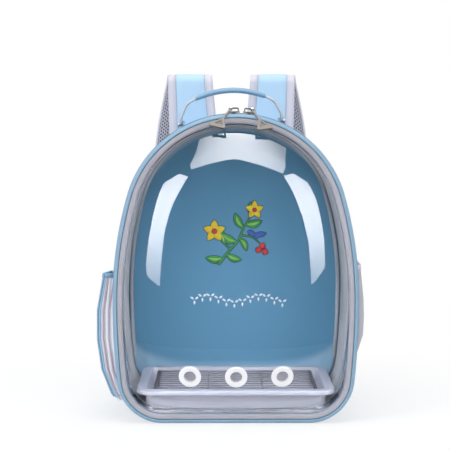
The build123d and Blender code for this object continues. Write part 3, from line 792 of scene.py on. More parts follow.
def shell_strip(name, s0, s1, y0, y1):
    rows = [[on_arch(s, shell_inset(s, y), y) for y in steps(y0, y1, 4 * MM)]
            for s in steps(s0, s1, 4 * MM)]
    return thicken(grid(name, rows), 2.0 * MM)


def rounded_rectangle(half_u, half_v, corner, angle):
    """The radius of a rounded rectangle in a direction."""
    cu, sv = abs(math.cos(angle)), abs(math.sin(angle))
    r = min(half_u / max(cu, 1e-9), half_v / max(sv, 1e-9))
    u, v = r * cu, r * sv
    iu, iv = half_u - corner, half_v - corner
    if u > iu and v > iv and corner > 0:
        b = -(iu * cu + iv * sv)
        c = iu * iu + iv * iv - corner * corner
        r = -b + math.sqrt(max(b * b - c, 0))
    return r


WINDOW_Y = (-56 * MM, 64 * MM)
WINDOW_Z = (224 * MM, 318 * MM)
S_SEAM = length_at_height(SEAM_Z)
S_ARCH = length_at_height(ARCH_Z)
S_WINDOW = (length_at_height(WINDOW_Z[0]), length_at_height(WINDOW_Z[1]))


def side_of(s, side):
    """The same place on the right (1) or the left (-1)."""
    return s if side > 0 else ARCH_LENGTH - s


def window_ring(angle, grow):
    """A point on the window's edge, as length along the outline and depth."""
    half_s = (S_WINDOW[1] - S_WINDOW[0]) / 2
    half_y = (WINDOW_Y[1] - WINDOW_Y[0]) / 2
    r = rounded_rectangle(half_s + grow, half_y + grow, 16 * MM + grow * 0.6, angle)
    return (sum(S_WINDOW) / 2 + r * math.cos(angle), sum(WINDOW_Y) / 2 + r * math.sin(angle))


def side_panel(name, side):
    """A side wall with its rounded window left open."""
    s_mid, y_mid = sum(S_WINDOW) / 2, sum(WINDOW_Y) / 2
    box = ((S_ARCH - s_mid, S_SEAM - s_mid), (SHELL_REAR - y_mid, PANEL_FRONT_Y - y_mid))
    corners = [math.atan2(b, a) for a in box[0] for b in box[1]]
    angles = sorted(corners + [2 * math.pi * i / 120 - math.pi for i in range(120)])
    rows = []
    for a in angles:
        ca, sa = math.cos(a), math.sin(a)
        reach = min((box[0][0] if ca > 0 else box[0][1]) / ca if abs(ca) > 1e-9 else 9,
                    (box[1][0] if sa > 0 else box[1][1]) / sa if abs(sa) > 1e-9 else 9)
        s0, y0 = window_ring(a, 0)
        row = []
        for t in (i / 26 for i in range(27)):
            s = s0 + (s_mid + reach * ca - s0) * t
            y = y0 + (y_mid + reach * sa - y0) * t
            here = side_of(s, side)
            row.append(on_arch(here, shell_inset(here, y), y))
        rows.append(row)
    return thicken(grid(name, rows, loop_u=True), 2.0 * MM)


def window_frame(name, side):
    """The folded ribbon sewn round a window."""
    rows = []
    profile = [(0.4, 0.9), (-0.6, 0.9), (-1.3, 0.4), (-1.5, -1.0), (-1.2, -2.6), (-1.5, -4.2),
               (-1.3, -5.4), (-0.8, -6.0), (0.6, -6.0), (0.8, -2.6)]
    for a in steps(-math.pi, math.pi, 0.045)[:-1]:
        row = []
        for lift, out in profile:
            s, y = window_ring(a, -out * MM)
            here = side_of(s, side)
            row.append(on_arch(here, (lift + 0.35 * math.sin(a * 90) * (out < -5)) * MM, y))
        rows.append(row)
    return outward(grid(name, rows, loop_u=True, loop_v=True))


def window_net(name, side):
    """Knitted net behind a window, drawn tight with a slight sag."""
    rows = []
    for k in (i / 12 for i in range(13)):
        row = []
        for a in steps(-math.pi, math.pi, 0.08)[:-1]:
            s1, y1 = window_ring(a, 6 * MM)
            s_mid, y_mid = sum(S_WINDOW) / 2, sum(WINDOW_Y) / 2
            s, y = s1 + (s_mid - s1) * k, y1 + (y_mid - y1) * k
            sag = 1.4 * MM * math.sin(k * math.pi / 2) + 0.3 * MM * ripple(s, y, 30 * MM, 4)
            row.append(on_arch(side_of(s, side), 3.4 * MM + sag, y))
        rows.append(row)
    obj = thicken(grid(name, rows, loop_v=True,
                       centre=on_arch(side_of(sum(S_WINDOW) / 2, side), 4.9 * MM,
                                      sum(WINDOW_Y) / 2)), 0.5 * MM)
    flat_uv(obj)
    return obj


def flat_uv(obj, axes=(1, 2)):
    """Lay the UVs out flat in metres along two axes."""
    layer = obj.data.uv_layers.active or obj.data.uv_layers.new(name="UVMap")
    verts = obj.data.vertices
    uvs = []
    for loop in obj.data.loops:
        co = verts[loop.vertex_index].co
        uvs += [co[axes[0]], co[axes[1]]]
    layer.data.foreach_set("uv", uvs)
    return obj


class CARRIER_OT_shell(bpy.types.Operator):
    """Make the fabric shell: base, sides with windows, and crown"""
    bl_idname = "carrier.shell"
    bl_label = "Fabric shell"

    def execute(self, context):
        fabric = use("shell")
        base = shell_strip("shell_base", -S_SEAM, S_SEAM, -94.5 * MM, SHELL_REAR)
        for v in base.data.vertices:
            v.co.z = max(v.co.z, 0.0)
        dress(base, "carrier", fabric, ["base_panel"])
        crown = shell_strip("shell_crown", S_ARCH, ARCH_LENGTH - S_ARCH, PANEL_FRONT_Y, SHELL_REAR)
        dress(crown, "carrier", fabric, ["top_panel"])
        for side, name in ((-1, "left"), (1, "right")):
            dress(side_panel(f"shell_side_{name}", side), "carrier", fabric,
                  [f"side_panel_{name}"])
            dress(window_frame(f"window_frame_{name}", side), "carrier", use("trim"),
                  [f"window_binding_{name}"])
            dress(window_net(f"window_net_{name}", side), "carrier", use("net"),
                  [f"window_mesh_{name}"])
            parts = []
            for out in (1.2 * MM, 4.8 * MM):
                line = [window_ring(a, out) for a in steps(-math.pi, math.pi, 0.03)]
                parts += stitch_parts([on_arch(side_of(s, side), -1.55 * MM, y) for s, y in line])
            for s in (S_SEAM + 3 * MM, S_ARCH - 3 * MM, S_ARCH + 3 * MM):
                here = side_of(s, side)
                parts += stitch_parts([on_arch(here, shell_inset(here, y) - 1.1 * MM, y)
                                       for y in steps(PANEL_FRONT_Y + 2 * MM,
                                                      SHELL_REAR - 2 * MM, 4 * MM)])
            dress(join_parts(f"side_stitches_{name}", parts), "carrier", use("blue_thread"))
        for side, name in ((-1, "left"), (1, "right")):
            for where, s in (("low", S_SEAM), ("high", S_ARCH)):
                here = side_of(s, side)
                path = [on_arch(here, 0.4 * MM, y)
                        for y in steps(PANEL_FRONT_Y + 0.5 * MM, SHELL_REAR - 0.5 * MM, 4 * MM)]
                seam = tube(f"seam_cord_{where}_{name}", path, 1.5 * MM, sides=8)
                dress(seam, "carrier", use("trim"))
        dress(rear_welt(), "carrier", use("trim"), ["rear_piping"])
        return {"FINISHED"}


def rear_welt():
    """Fabric-covered cord round the back edge."""
    rows = []
    for s in round_arch(3.5 * MM):
        row = []
        for k in range(12):
            a = 2 * math.pi * k / 12
            tuck = 0.12 * MM * math.sin(s / (1.9 * MM))
            p = on_arch(s, 0.9 * MM + (2.4 * MM + tuck) * math.cos(a),
                        102.5 * MM + 2.4 * MM * math.sin(a))
            p.z = max(p.z, 0.0)
            row.append(p)
        rows.append(row)
    return outward(grid("rear_welt", rows, loop_u=True, loop_v=True))


# ---- door ------------------------------------------------------------------------------
FILM_BULGE = 60 * MM
FILM_CROWN_RADIUS = 560 * MM
FILM_CROWN_Z = 225 * MM
FILM_SHOULDER = 34 * MM


def film_crown(x, z, sunk=0.0):
    """Depth of the film's spherical crown."""
    r = FILM_CROWN_RADIUS - sunk
    return WEB_Y - FILM_BULGE + FILM_CROWN_RADIUS \
        - math.sqrt(r * r - x * x - (z - FILM_CROWN_Z) ** 2)


def film_rows(sunk):
    """Loops of points on the film, from its sewn edge to its middle. sunk gives the inner face."""
    shoulder = FILM_SHOULDER - sunk
    inset0 = WINDOW_INSET + sunk
    lengths = round_arch(4 * MM)
    rows = []
    for flange in (8 * MM, inset0 - 1.2 * MM):
        depth = WEB_Y - FILM_WALL * (1 if sunk == 0 else 0)
        rows.append([on_arch(s, flange, depth) for s in lengths])
    for t in steps(0, 1, 0.25):
        row = []
        for s in lengths:
            x, z, nx, nz = arch_at(s)
            px, pz = x + nx * inset0, z + nz * inset0
            top = film_crown(px, pz, sunk) + shoulder
            foot = WEB_Y - FILM_WALL * (1.4 if sunk == 0 else 0)
            row.append(Vector((px, foot + (top - foot) * t, pz)))
        rows.append(row)
    for a in steps(0, math.pi / 2, math.pi / 2 / 14)[1:]:
        d = shoulder * (1 - math.cos(a))
        row = []
        for s in lengths:
            p = on_arch(s, inset0 + d, 0)
            p.y = film_crown(p.x, p.z, sunk) + shoulder * (1 - math.sin(a))
            row.append(p)
        rows.append(row)
    last = [Vector(p) for p in rows[-1]]
    middle = Vector((0, 0, 215 * MM))
    for t in (0.12, 0.24, 0.36, 0.48, 0.6, 0.71, 0.81, 0.9, 0.97):
        row = []
        for p in last:
            q = p.lerp(middle, t)
            q.y = film_crown(q.x, q.z, sunk)
            row.append(q)
        rows.append(row)
    hub = Vector((middle.x, film_crown(middle.x, middle.z, sunk), middle.z))
    return rows, hub


VENTS = (("left", -61.5 * MM), ("middle", 0.0), ("right", 61.5 * MM))
VENT_Z = 71 * MM


def vent_place(x):
    """The centre of a vent on the film and the way it faces."""
    at = Vector((x, film_crown(x, VENT_Z), VENT_Z))
    hub = Vector((0, WEB_Y - FILM_BULGE + FILM_CROWN_RADIUS, FILM_CROWN_Z))
    return at, (at - hub).normalized()


def clear_film():
    """The moulded clear bubble with its three vent holes."""
    outer, outer_hub = film_rows(0.0)
    inner, inner_hub = film_rows(FILM_WALL)
    n = len(outer[0])
    verts, faces = [], []
    for rows in (outer, inner):
        base = len(verts)
        verts += [p for row in rows for p in row]
        faces += ring_faces(len(rows), n, base)
        hub = len(verts)
        verts.append(outer_hub if base == 0 else inner_hub)
        faces += [(base + (len(rows) - 1) * n + j, base + (len(rows) - 1) * n + (j + 1) % n, hub)
                  for j in range(n)]
    base = len(outer) * n + 1
    faces += [(j, (j + 1) % n, base + (j + 1) % n, base + j) for j in range(n)]
    film = outward(mesh_piece("clear_film", verts, faces))
    for _, x in VENTS:
        at, way = vent_place(x)
        work = bmesh.new()
        bmesh.ops.create_cone(work, cap_ends=True, segments=48, radius1=9.2 * MM,
                              radius2=9.2 * MM, depth=24 * MM)
        mesh = bpy.data.meshes.new("punch")
        work.to_mesh(mesh)
        work.free()
        punch = link(bpy.data.objects.new("punch", mesh))
        turn = way.to_track_quat("Z", "Y").to_matrix().to_4x4()
        punch.matrix_world = Matrix.Translation(at) @ turn
        cut = film.modifiers.new("vent", "BOOLEAN")
        cut.operation = "DIFFERENCE"
        cut.object = punch
        cut.solver = "EXACT"
        bpy.context.view_layer.update()
        settle(film)
        bpy.data.objects.remove(punch)
    film.data.polygons.foreach_set("use_smooth", [True] * len(film.data.polygons))
    film.data.set_sharp_from_angle(angle=math.radians(35))
    return film


def gauze(name, x):
    """A disc of woven wire behind a vent."""
    at, way = vent_place(x)
    turn = way.to_track_quat("Z", "Y").to_matrix()
    radius, pitch, wire = 8.3 * MM, 1.05 * MM, 0.17 * MM
    parts = []
    count = int(radius / pitch)
    for axis in (0, 1):
        for i in range(-count, count + 1):
            off = i * pitch
            half = math.sqrt(max(radius * radius - off * off, 0))
            if half < pitch:
                continue
            pts = []
            for t in steps(-half, half, pitch / 2):
                wave = wire * 0.9 * math.cos(math.pi * t / pitch) * (1 if (i + axis) % 2 else -1)
                p = Vector((t, off, wave)) if axis == 0 else Vector((off, t, -wave))
                pts.append(at + turn @ (p + Vector((0, 0, -0.4 * MM))))
            rows = tube_rows(pts, wire, 4, up=turn @ Vector((0, 0, 1)))
            verts = [p for row in rows for p in row]
            parts.append((verts, ring_faces(len(rows), 4)))
    return join_parts(name, parts)


def swept_band(name, profile, step=3 * MM, wander=None):
    """A closed band round the door through (inset, depth) points in millimetres."""
    rows = []
    for s in round_arch(step):
        extra = wander(s) if wander else 0.0
        rows.append([on_arch(s, (d + extra) * MM, y * MM) for d, y in profile])
    return outward(grid(name, rows, loop_u=True, loop_v=True))


def arc_points(cx, cy, r, a0, a1, n):
    return [(cx + r * math.cos(math.radians(a)), cy + r * math.sin(math.radians(a)))
            for a in (a0 + (a1 - a0) * i / n for i in range(n + 1))]


class CARRIER_OT_door(bpy.types.Operator):
    """Make the door: welt, grey ribbon, web, clear film and vents"""
    bl_idname = "carrier.door"
    bl_label = "Bubble door"

    def execute(self, context):
        welt = arc_points(4.75, -100.3, 4.6, 180, 262, 8) + [(4.9, -104.6), (5.0, -103.0),
                                                              (5.0, -100.0), (2.5, -100.0)]
        rim = swept_band("door_welt", welt,
                         wander=lambda s: 0.10 * ripple(s, 0, 9 * MM, 5)
                         + 0.07 * math.sin(s / (1.6 * MM)))
        for v in rim.data.vertices:
            v.co.z = max(v.co.z, 0.0)
        dress(rim, "door", use("trim"), ["door_rim"])
        # Painted shadow: the dark lip fills the groove between welt and band.
        lip = swept_band("door_lip_groove_shadow", [(4.6, -103.0), (6.3, -103.0), (6.3, -101.6), (4.6, -101.6)])
        dress(lip, "door", use("deep_trim_and_groove_shadow"))
        web = swept_band("door_web_tape", [(1.0, -99.9), (13.6, -99.9), (13.6, -98.3), (7, -98.2),
                                           (1.0, -98.3)])
        for v in web.data.vertices:
            if abs(v.co.x) < 99 * MM and v.co.z < 7.5 * MM:
                v.co.z = 7.5 * MM
        dress(web, "door", use("deep_trim_and_groove_shadow"), ["door_web"])
        ribbon = [(6.0, -101.3), (6.0, -103.2), (6.5, -103.9), (7.4, -104.2), (8.4, -104.0),
                  (8.8, -103.6), (9.2, -103.9), (10.4, -103.6), (11.6, -103.0), (12.5, -102.2),
                  (13.0, -101.3)]
        band = swept_band("door_band", ribbon, step=2.5 * MM,
                          wander=lambda s: 0.14 * ripple(s, 0, 14 * MM, 6))
        dress(band, "door", use("band"), ["door_binding"])
        lines = []
        for d, y in ((8.8, -103.75), (12.2, -102.75)):
            lines += stitch_parts([on_arch(s, d * MM, y * MM) for s in round_arch(3 * MM)],
                                  length=sizes().stitch)
        dress(join_parts("band_stitches", lines), "door", use("thread"))
        dress(clear_film(), "door", use("film"), ["bubble_window"])
        for name, x in VENTS:
            dress(gauze(f"vent_gauze_{name}", x), "door", use("gauze"),
                  [f"vent_mesh_{name}"])
            repaint(use("white"), "white_plastic", f"vent_ring_{name}", f"vent_washer_{name}")
        return {"FINISHED"}


class CARRIER_OT_zip(bpy.types.Operator):
    """Make the zip: tapes, coil teeth, and finish the sliders and pulls"""
    bl_idname = "carrier.zip"
    bl_label = "Zip"

    def execute(self, context):
        s0, s1 = S_SEAM, ARCH_LENGTH - S_SEAM
        for body, node, edge, far in (("door", "zip_track_door", -93.4, -98.2),
                                      ("carrier", "zip_track_body", -91.4, -84.2)):
            rows = [[on_arch(s, (0.9 + 0.15 * ripple(s, y, 20 * MM, 7)) * MM, y * MM)
                     for y in steps(edge, far, 1.0)] for s in steps(s0, s1, 4 * MM)]
            tape = thicken(grid(f"zip_tape_{body}", rows), 1.0 * MM)
            dress(tape, body, use("zip"), [node])
            way = 1 if far > edge else -1
            teeth = []
            for i, s in enumerate(steps(s0 + 2 * MM, s1 - 2 * MM, 1.5 * MM)):
                if (i % 2 == 0) == (way > 0):
                    continue
                x, z, nx, nz = arch_at(s)
                t = Vector((-nz, 0, nx))
                out = Vector((-nx, 0, -nz))
                hub = Vector((x, (edge + way * 0.5) * MM, z)) + out * 0.35 * MM
                verts = []
                for dy, h, w in ((-0.85 * way, 0.35, 0.5), (-0.1 * way, 0.8, 0.62),
                                 (0.8 * way, 0.75, 0.55)):
                    for a, b in ((-1, -1), (1, -1), (1, 1), (-1, 1)):
                        verts.append(hub + Vector((0, dy * MM, 0)) + t * (a * w * MM)
                                     + out * (b * h * MM))
                faces = [(0, 1, 2, 3), (11, 10, 9, 8)]
                faces += [(k * 4 + j, k * 4 + 4 + j, k * 4 + 4 + (j + 1) % 4, k * 4 + (j + 1) % 4)
                          for k in (0, 1) for j in range(4)]
                teeth.append((verts, faces))
            dress(join_parts(f"zip_coil_{body}", teeth), body, use("coil"))
        for name in ("left", "right"):
            repaint(use("dark_metal"), "zip_metal", f"zip_slider_{name}")
            repaint(use("metal"), "zip_metal", f"zip_pull_{name}")
            repaint(use("wire"), "zip_metal", f"handle_rivet_{name}")
        repaint(use("deep_trim_and_groove_shadow"), "hinge_cord", "hinge_cord")
        return {"FINISHED"}


# ---- cabin -------------------------------------------------------------------------------
PANEL_Y = 99.0 * MM


def panel_bulge(x, z):
    """How far the padded back lining stands forward of its plane."""
    u, v = x / (155 * MM), (z - 215 * MM) / (215 * MM)
    dome = max(0.0, 1 - u * u) * max(0.0, 1 - v * v)
    return 3.2 * MM * dome ** 0.5 + 0.9 * MM * ripple(x, z, 110 * MM, 11) \
        + 0.35 * MM * ripple(x, z, 38 * MM, 12)


def panel_y(x, z):
    return PANEL_Y - max(0.0, panel_bulge(x, z))


def arch_disc(name, insets, depth, step=5 * MM, shares=(0.15, 0.3, 0.45, 0.6, 0.75, 0.9)):
    """A surface over the whole outline whose depth is a function of x and z."""
    lengths = round_arch(step)
    rows = []
    for inset in insets:
        row = []
        for s in lengths:
            p = on_arch(s, inset, 0)
            p.y = depth(p.x, p.z)
            row.append(p)
        rows.append(row)
    last = [Vector(p) for p in rows[-1]]
    middle = Vector((0, 0, 205 * MM))
    for t in shares:
        row = []
        for p in last:
            q = p.lerp(middle, t)
            q.y = depth(q.x, q.z)
            row.append(q)
        rows.append(row)
    middle.y = depth(middle.x, middle.z)
    return grid(name, rows, loop_v=True, centre=middle)


def fold_depth(s, y):
    """How far the loose wall lining stands in from the wall."""
    deep = sizes().wrinkle
    half = ARCH_LENGTH / 2
    low = abs(s - half) / half
    slack = 0.16 + 0.84 * min(1.0, max(0.0, (low - 0.42) / 0.36)) ** 1.3
    wander = ripple(s, 0, 120 * MM, 21) * 0.9 + ripple(s, 3, 55 * MM, 22) * 0.35
    phase = (y - PANEL_FRONT_Y) / (44 * MM) + wander
    crease = (0.5 + 0.5 * math.cos(2 * math.pi * phase)) ** 1.8
    fine = 0.5 + 0.5 * math.cos(2 * math.pi * (phase * 2.3 + 0.4 * ripple(s, y, 40 * MM, 23)))
    t = (y + 94 * MM) / (192 * MM)
    ease = max(0.0, math.sin(math.pi * min(max(t, 0.0), 1.0))) ** 0.5
    return (4.4 * MM + deep * slack * ease * (0.75 * crease + 0.25 * fine)
            + 0.5 * MM * ripple(s, y, 16 * MM, 24) * slack)


class CARRIER_OT_cabin(bpy.types.Operator):
    """Make the cabin: padded back lining, loose wall lining, seam tape, foot fold, floor board finish
    and back skin
    """
    bl_idname = "carrier.cabin"
    bl_label = "Cabin lining"

    def execute(self, context):
        lining = thicken(arch_disc("back_lining_pad", [4 * MM, 9 * MM, 14 * MM, 22 * MM, 32 * MM,
                                                       44 * MM, 56 * MM], panel_y), 1.2 * MM)
        flat_uv(lining, (0, 2))
        dress(lining, "carrier", use("lining"), ["back_lining"])
        s0 = length_at_height(10 * MM, 4 * MM)
        rows = [[on_arch(s, fold_depth(s, y), y) for y in steps(-94 * MM, 98.2 * MM, 3.2 * MM)]
                for s in steps(s0, ARCH_LENGTH - s0, 5 * MM)]
        wall = thicken(grid("wall_lining", rows), 0.8 * MM)
        dress(wall, "carrier", use("wall"))
        tape = swept_band("inner_seam_tape",
                          [(7.0, 98.2), (7.3, 96.4), (8.6, 95.4), (10.4, 95.1), (12.2, 95.5),
                           (13.2, 96.6), (13.4, 98.2)],
                          wander=lambda s: 0.5 * ripple(s, 0, 60 * MM, 31))
        dress(tape, "carrier", use("tape"), ["inner_binding"])
        dress(self.foot_fold(), "carrier", use("fold"))
        repaint(use("board"), "board_plastic", "floor_board")
        skin = thicken(arch_disc("back_skin", [3.4 * MM, 9 * MM, 15 * MM, 24 * MM, 40 * MM, 56 * MM],
                                 lambda x, z: 103.4 * MM + 0.5 * MM * ripple(x, z, 60 * MM, 41)),
                       2.0 * MM)
        flat_uv(skin, (0, 2))
        dress(skin, "carrier", use("back"), ["back_panel"])
        return {"FINISHED"}

    def foot_fold(self):
        """The lining's lower edge, where it curves forward to the floor."""
        rows = []
        for u in steps(-1, 1, 0.025):
            top = 74 * MM + 12 * MM * abs(u) ** 3
            row = []
            for t in steps(0, 1, 1 / 14):
                z = 18 * MM + (top - 18 * MM) * t
                half = on_arch(length_at_height(max(z, 16 * MM), 9 * MM), 9 * MM, 0).x
                x = u * half
                tuck = math.exp(-((abs(u) - 0.86) / 0.05) ** 2) * (1 - t) * 4 * MM
                forward = 13 * MM * (1 - t) ** 2.2 + tuck
                wave = 0.9 * MM * ripple(x, 7, 46 * MM, 51) * (1 - t) ** 0.6
                sink = 2.4 * MM * max(0.0, (t - 0.8) / 0.2) ** 2
                row.append(Vector((x, min(panel_y(x, z), 98.2 * MM) - 0.6 * MM - forward
                                   + wave * (1 - t) + sink, z)))
            rows.append(row)
        fold = thicken(grid("foot_fold", rows), 0.8 * MM)
        flat_uv(fold, (0, 2))
        return fold


# ---- printed motif -------------------------------------------------------------------------
def leaf_outline(cx, cz, length, width, angle, bend=0.0, blunt=1.0):
    """The corners of a leaf or petal in the panel's plane, in millimetres."""
    pts = []
    ca, sa = math.cos(math.radians(angle)), math.sin(math.radians(angle))
    for side in (1, -1):
        for i in range(13):
            t = i / 12 if side > 0 else 1 - i / 12
            w = side * width / 2 * math.sin(math.pi * min(1, t ** blunt)) ** 0.85
            u, v = t * length, w + bend * math.sin(math.pi * t)
            pts.append((cx + u * ca - v * sa, cz + u * sa + v * ca))
    return pts[:13] + pts[14:-1]


def disc_outline(cx, cz, r, n=24):
    return [(cx + r * math.cos(2 * math.pi * i / n), cz + r * math.sin(2 * math.pi * i / n))
            for i in range(n)]


def stem_outline(points, width):
    """A thin tapering stem through points, in millimetres."""
    run = rounded_run(points, 14.0, 2.0)
    ts = tangents(run)
    left, right = [], []
    for i, (p, t) in enumerate(zip(run, ts)):
        w = width / 2 * (1 - 0.55 * i / len(run))
        left.append((p.x - t.y * w, p.y + t.x * w))
        right.append((p.x + t.y * w, p.y - t.x * w))
    return left + right[::-1]


def grown(outline, by):
    """An outline pushed out by a distance."""
    n = len(outline)
    out = []
    area = sum(outline[i][0] * outline[(i + 1) % n][1] - outline[(i + 1) % n][0] * outline[i][1]
               for i in range(n))
    sign = 1 if area > 0 else -1
    for i in range(n):
        (ax, az), (bx, bz) = outline[i - 1], outline[(i + 1) % n]
        dx, dz = bx - ax, bz - az
        size = math.hypot(dx, dz) or 1.0
        out.append((outline[i][0] + sign * dz / size * by, outline[i][1] - sign * dx / size * by))
    return out


def print_patch(outline, lift):
    """A thin patch of ink on the back lining: front and back loops."""
    verts = []
    for depth in (lift, lift - 0.16):
        for x, z in outline:
            verts.append(Vector((x * MM, panel_y(x * MM, z * MM) - (0.6 + depth) * MM, z * MM)))
    n = len(outline)
    faces = [tuple(range(n)), tuple(reversed(range(n, 2 * n)))]
    faces += [(i, n + i, n + (i + 1) % n, (i + 1) % n) for i in range(n)]
    return verts, faces


class CARRIER_OT_print(bpy.types.Operator):
    """Make the printed sprig of leaves, blossoms and berries on the back lining"""
    bl_idname = "carrier.print"
    bl_label = "Printed sprig"

    def execute(self, context):
        layers = {"leaf": [], "leaf_light": [], "petal": [], "berry": [], "bud": [], "pale_ink": []}
        ink = []

        def add(kind, outline, lift=0.34, edge=0.9):
            layers[kind].append(print_patch(outline, lift))
            if edge:
                ink.append(print_patch(grown(outline, edge), lift - 0.2))

        stem = [(-24, 196), (-10, 214), (6, 232), (14, 252), (30, 276)]
        add("leaf", stem_outline(stem, 3.0))
        add("leaf", stem_outline([(-6, 218), (-22, 236), (-34, 240)], 2.2))
        add("leaf", stem_outline([(10, 240), (26, 238), (40, 226)], 2.0))
        for x, z, length, width, angle, bend in (
                (-17, 205, 26, 11, 178, 2), (-12, 211, 24, 10, -20, -2), (-14, 226, 26, 11, 118, -2),
                (4, 230, 28, 12, 152, 3), (8, 236, 22, 9, -62, 2), (13, 250, 26, 11, 118, 2),
                (16, 256, 26, 11, 12, -2), (26, 270, 20, 9, 96, 1)):
            add("leaf", leaf_outline(x, z, length, width, angle, bend))
            add("leaf_light", leaf_outline(x + 3 * math.cos(math.radians(angle)),
                                           z + 3 * math.sin(math.radians(angle)),
                                           length * 0.72, width * 0.34, angle, bend), 0.5, 0)
        for cx, cz, size in ((-30, 246, 15), (30, 278, 12)):
            for k in range(5):
                a = 72 * k + 18
                add("petal", leaf_outline(cx + 2 * math.cos(math.radians(a)),
                                          cz + 2 * math.sin(math.radians(a)),
                                          size, size * 0.72, a, 0, 0.72), 0.6, 0.8)
            add("berry", disc_outline(cx, cz, size * 0.24), 0.86, 0.6)
        for cx, cz in ((42, 224), (36, 218), (46, 215)):
            add("berry", disc_outline(cx, cz, 4.2), 0.6)
        for x, z, angle in ((30, 236, 40), (34, 240, 12), (20, 246, -28)):
            add("bud", leaf_outline(x, z, 14, 7, angle, 0, 0.8), 0.5)
        for i in range(12):
            x = -60 + i * 12
            z = 143 + 5 * math.sin(i * 0.95)
            for way in (35, 145, -90):
                add("pale_ink", leaf_outline(x + 1.2 * math.cos(math.radians(way)),
                                             z + 1.2 * math.sin(math.radians(way)),
                                             6.4, 3.2, way, 0, 0.9), 0.3, 0)
        for kind, parts in layers.items():
            dress(join_parts(f"print_{kind}", parts), "carrier", use(kind))
        dress(join_parts("print_ink", ink), "carrier", use("ink"))
        return {"FINISHED"}


# ---- tray, grate, handle ---------------------------------------------------------------------
class CARRIER_OT_tray(bpy.types.Operator):
    """Finish the waste tray and make the wire grate with its wrapped ends"""
    bl_idname = "carrier.tray"
    bl_label = "Tray and grate"

    def execute(self, context):
        repaint(use("tray"), "tray_plastic", "waste_tray")
        repaint(use("wire"), "bright_wire", "grate_feet")
        low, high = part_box("wire_grate")
        half, z = (high.x - low.x) / 2, 39 * MM
        wires, wraps = [], []
        ys = steps(low.y + 1.1 * MM, high.y - 1.1 * MM, 15.4 * MM)
        for i, y in enumerate(ys):
            path = [Vector((x, y, z + 0.12 * MM * math.sin(x * 40 + i))) for x in
                    steps(-half + 2 * MM, half - 2 * MM, 8 * MM)]
            wires.append(tube_rows(path, 1.05 * MM, 10, up=Vector((0, 0, 1))))
        xs = [-half + 3 * MM, -half / 3, half / 3, half - 3 * MM]
        for x in xs:
            path = [Vector((x, y, z - 2.2 * MM)) for y in steps(low.y + 0.6 * MM,
                                                                 high.y - 0.6 * MM, 8 * MM)]
            wires.append(tube_rows(path, 1.3 * MM, 10, up=Vector((0, 0, 1))))
        for x in (xs[0], xs[-1]):
            for y in ys:
                coil = []
                for k in range(25):
                    a = 2 * math.pi * k / 10
                    coil.append(Vector((x + 2.15 * MM * math.cos(a), y - 2.2 * MM + k * 0.18 * MM,
                                        z - 2.2 * MM + 2.15 * MM * math.sin(a))))
                wraps.append(tube_rows(coil, 0.7 * MM, 6, up=Vector((0, 1, 0))))
        for name, tubes, nodes in (("grate_wires", wires, ["wire_grate"]),
                                   ("grate_wraps", wraps, [])):
            parts = []
            for rows in tubes:
                n = len(rows[0])
                verts = [p for row in rows for p in row]
                faces = ring_faces(len(rows), n)
                faces += [tuple(range(n)), tuple((len(rows) - 1) * n + b for b in reversed(range(n)))]
                parts.append((verts, faces))
            dress(join_parts(name, parts), "grate", use("wire"), nodes)
        return {"FINISHED"}


def along_crown(point, x):
    """A point at the crown moved to length x along the crown's arc."""
    a = x / CROWN_RADIUS
    dz = point.z - CROWN_Z
    return Vector((point.x * math.cos(a) + dz * math.sin(a), point.y,
                   CROWN_Z - point.x * math.sin(a) + dz * math.cos(a)))


def strip_rows(run, half_width, thickness, place_point, rib=0.0, ribs=6):
    """Rows of a flat woven strip round a 2D run. half_width is a function of the share along."""
    rows = []
    ts = tangents(run)
    for i, (p, t) in enumerate(zip(run, ts)):
        n = Vector((-t.y, t.x))
        half = half_width(i / (len(run) - 1))
        row = []
        count = 4 * ribs
        for face in (1, -1):
            for k in range(count + 1):
                u = -1 + 2 * k / count
                u = u if face > 0 else -u
                edge = (1 - abs(u) ** 10) ** 0.5
                w = face * (thickness / 2 * edge
                            + rib * math.cos(u * math.pi * ribs) * 0.5 * edge)
                q = p + n * w
                row.append(place_point(q, u * half))
        rows.append(row)
    return rows


GRIP_HALF = 52 * MM
GRIP_RISE = 3.9 * MM
GRIP_DEPTH = 8.2 * MM
GRIP_ARCH = 10.9 * MM
GRIP_Z = 458 * MM - GRIP_RISE


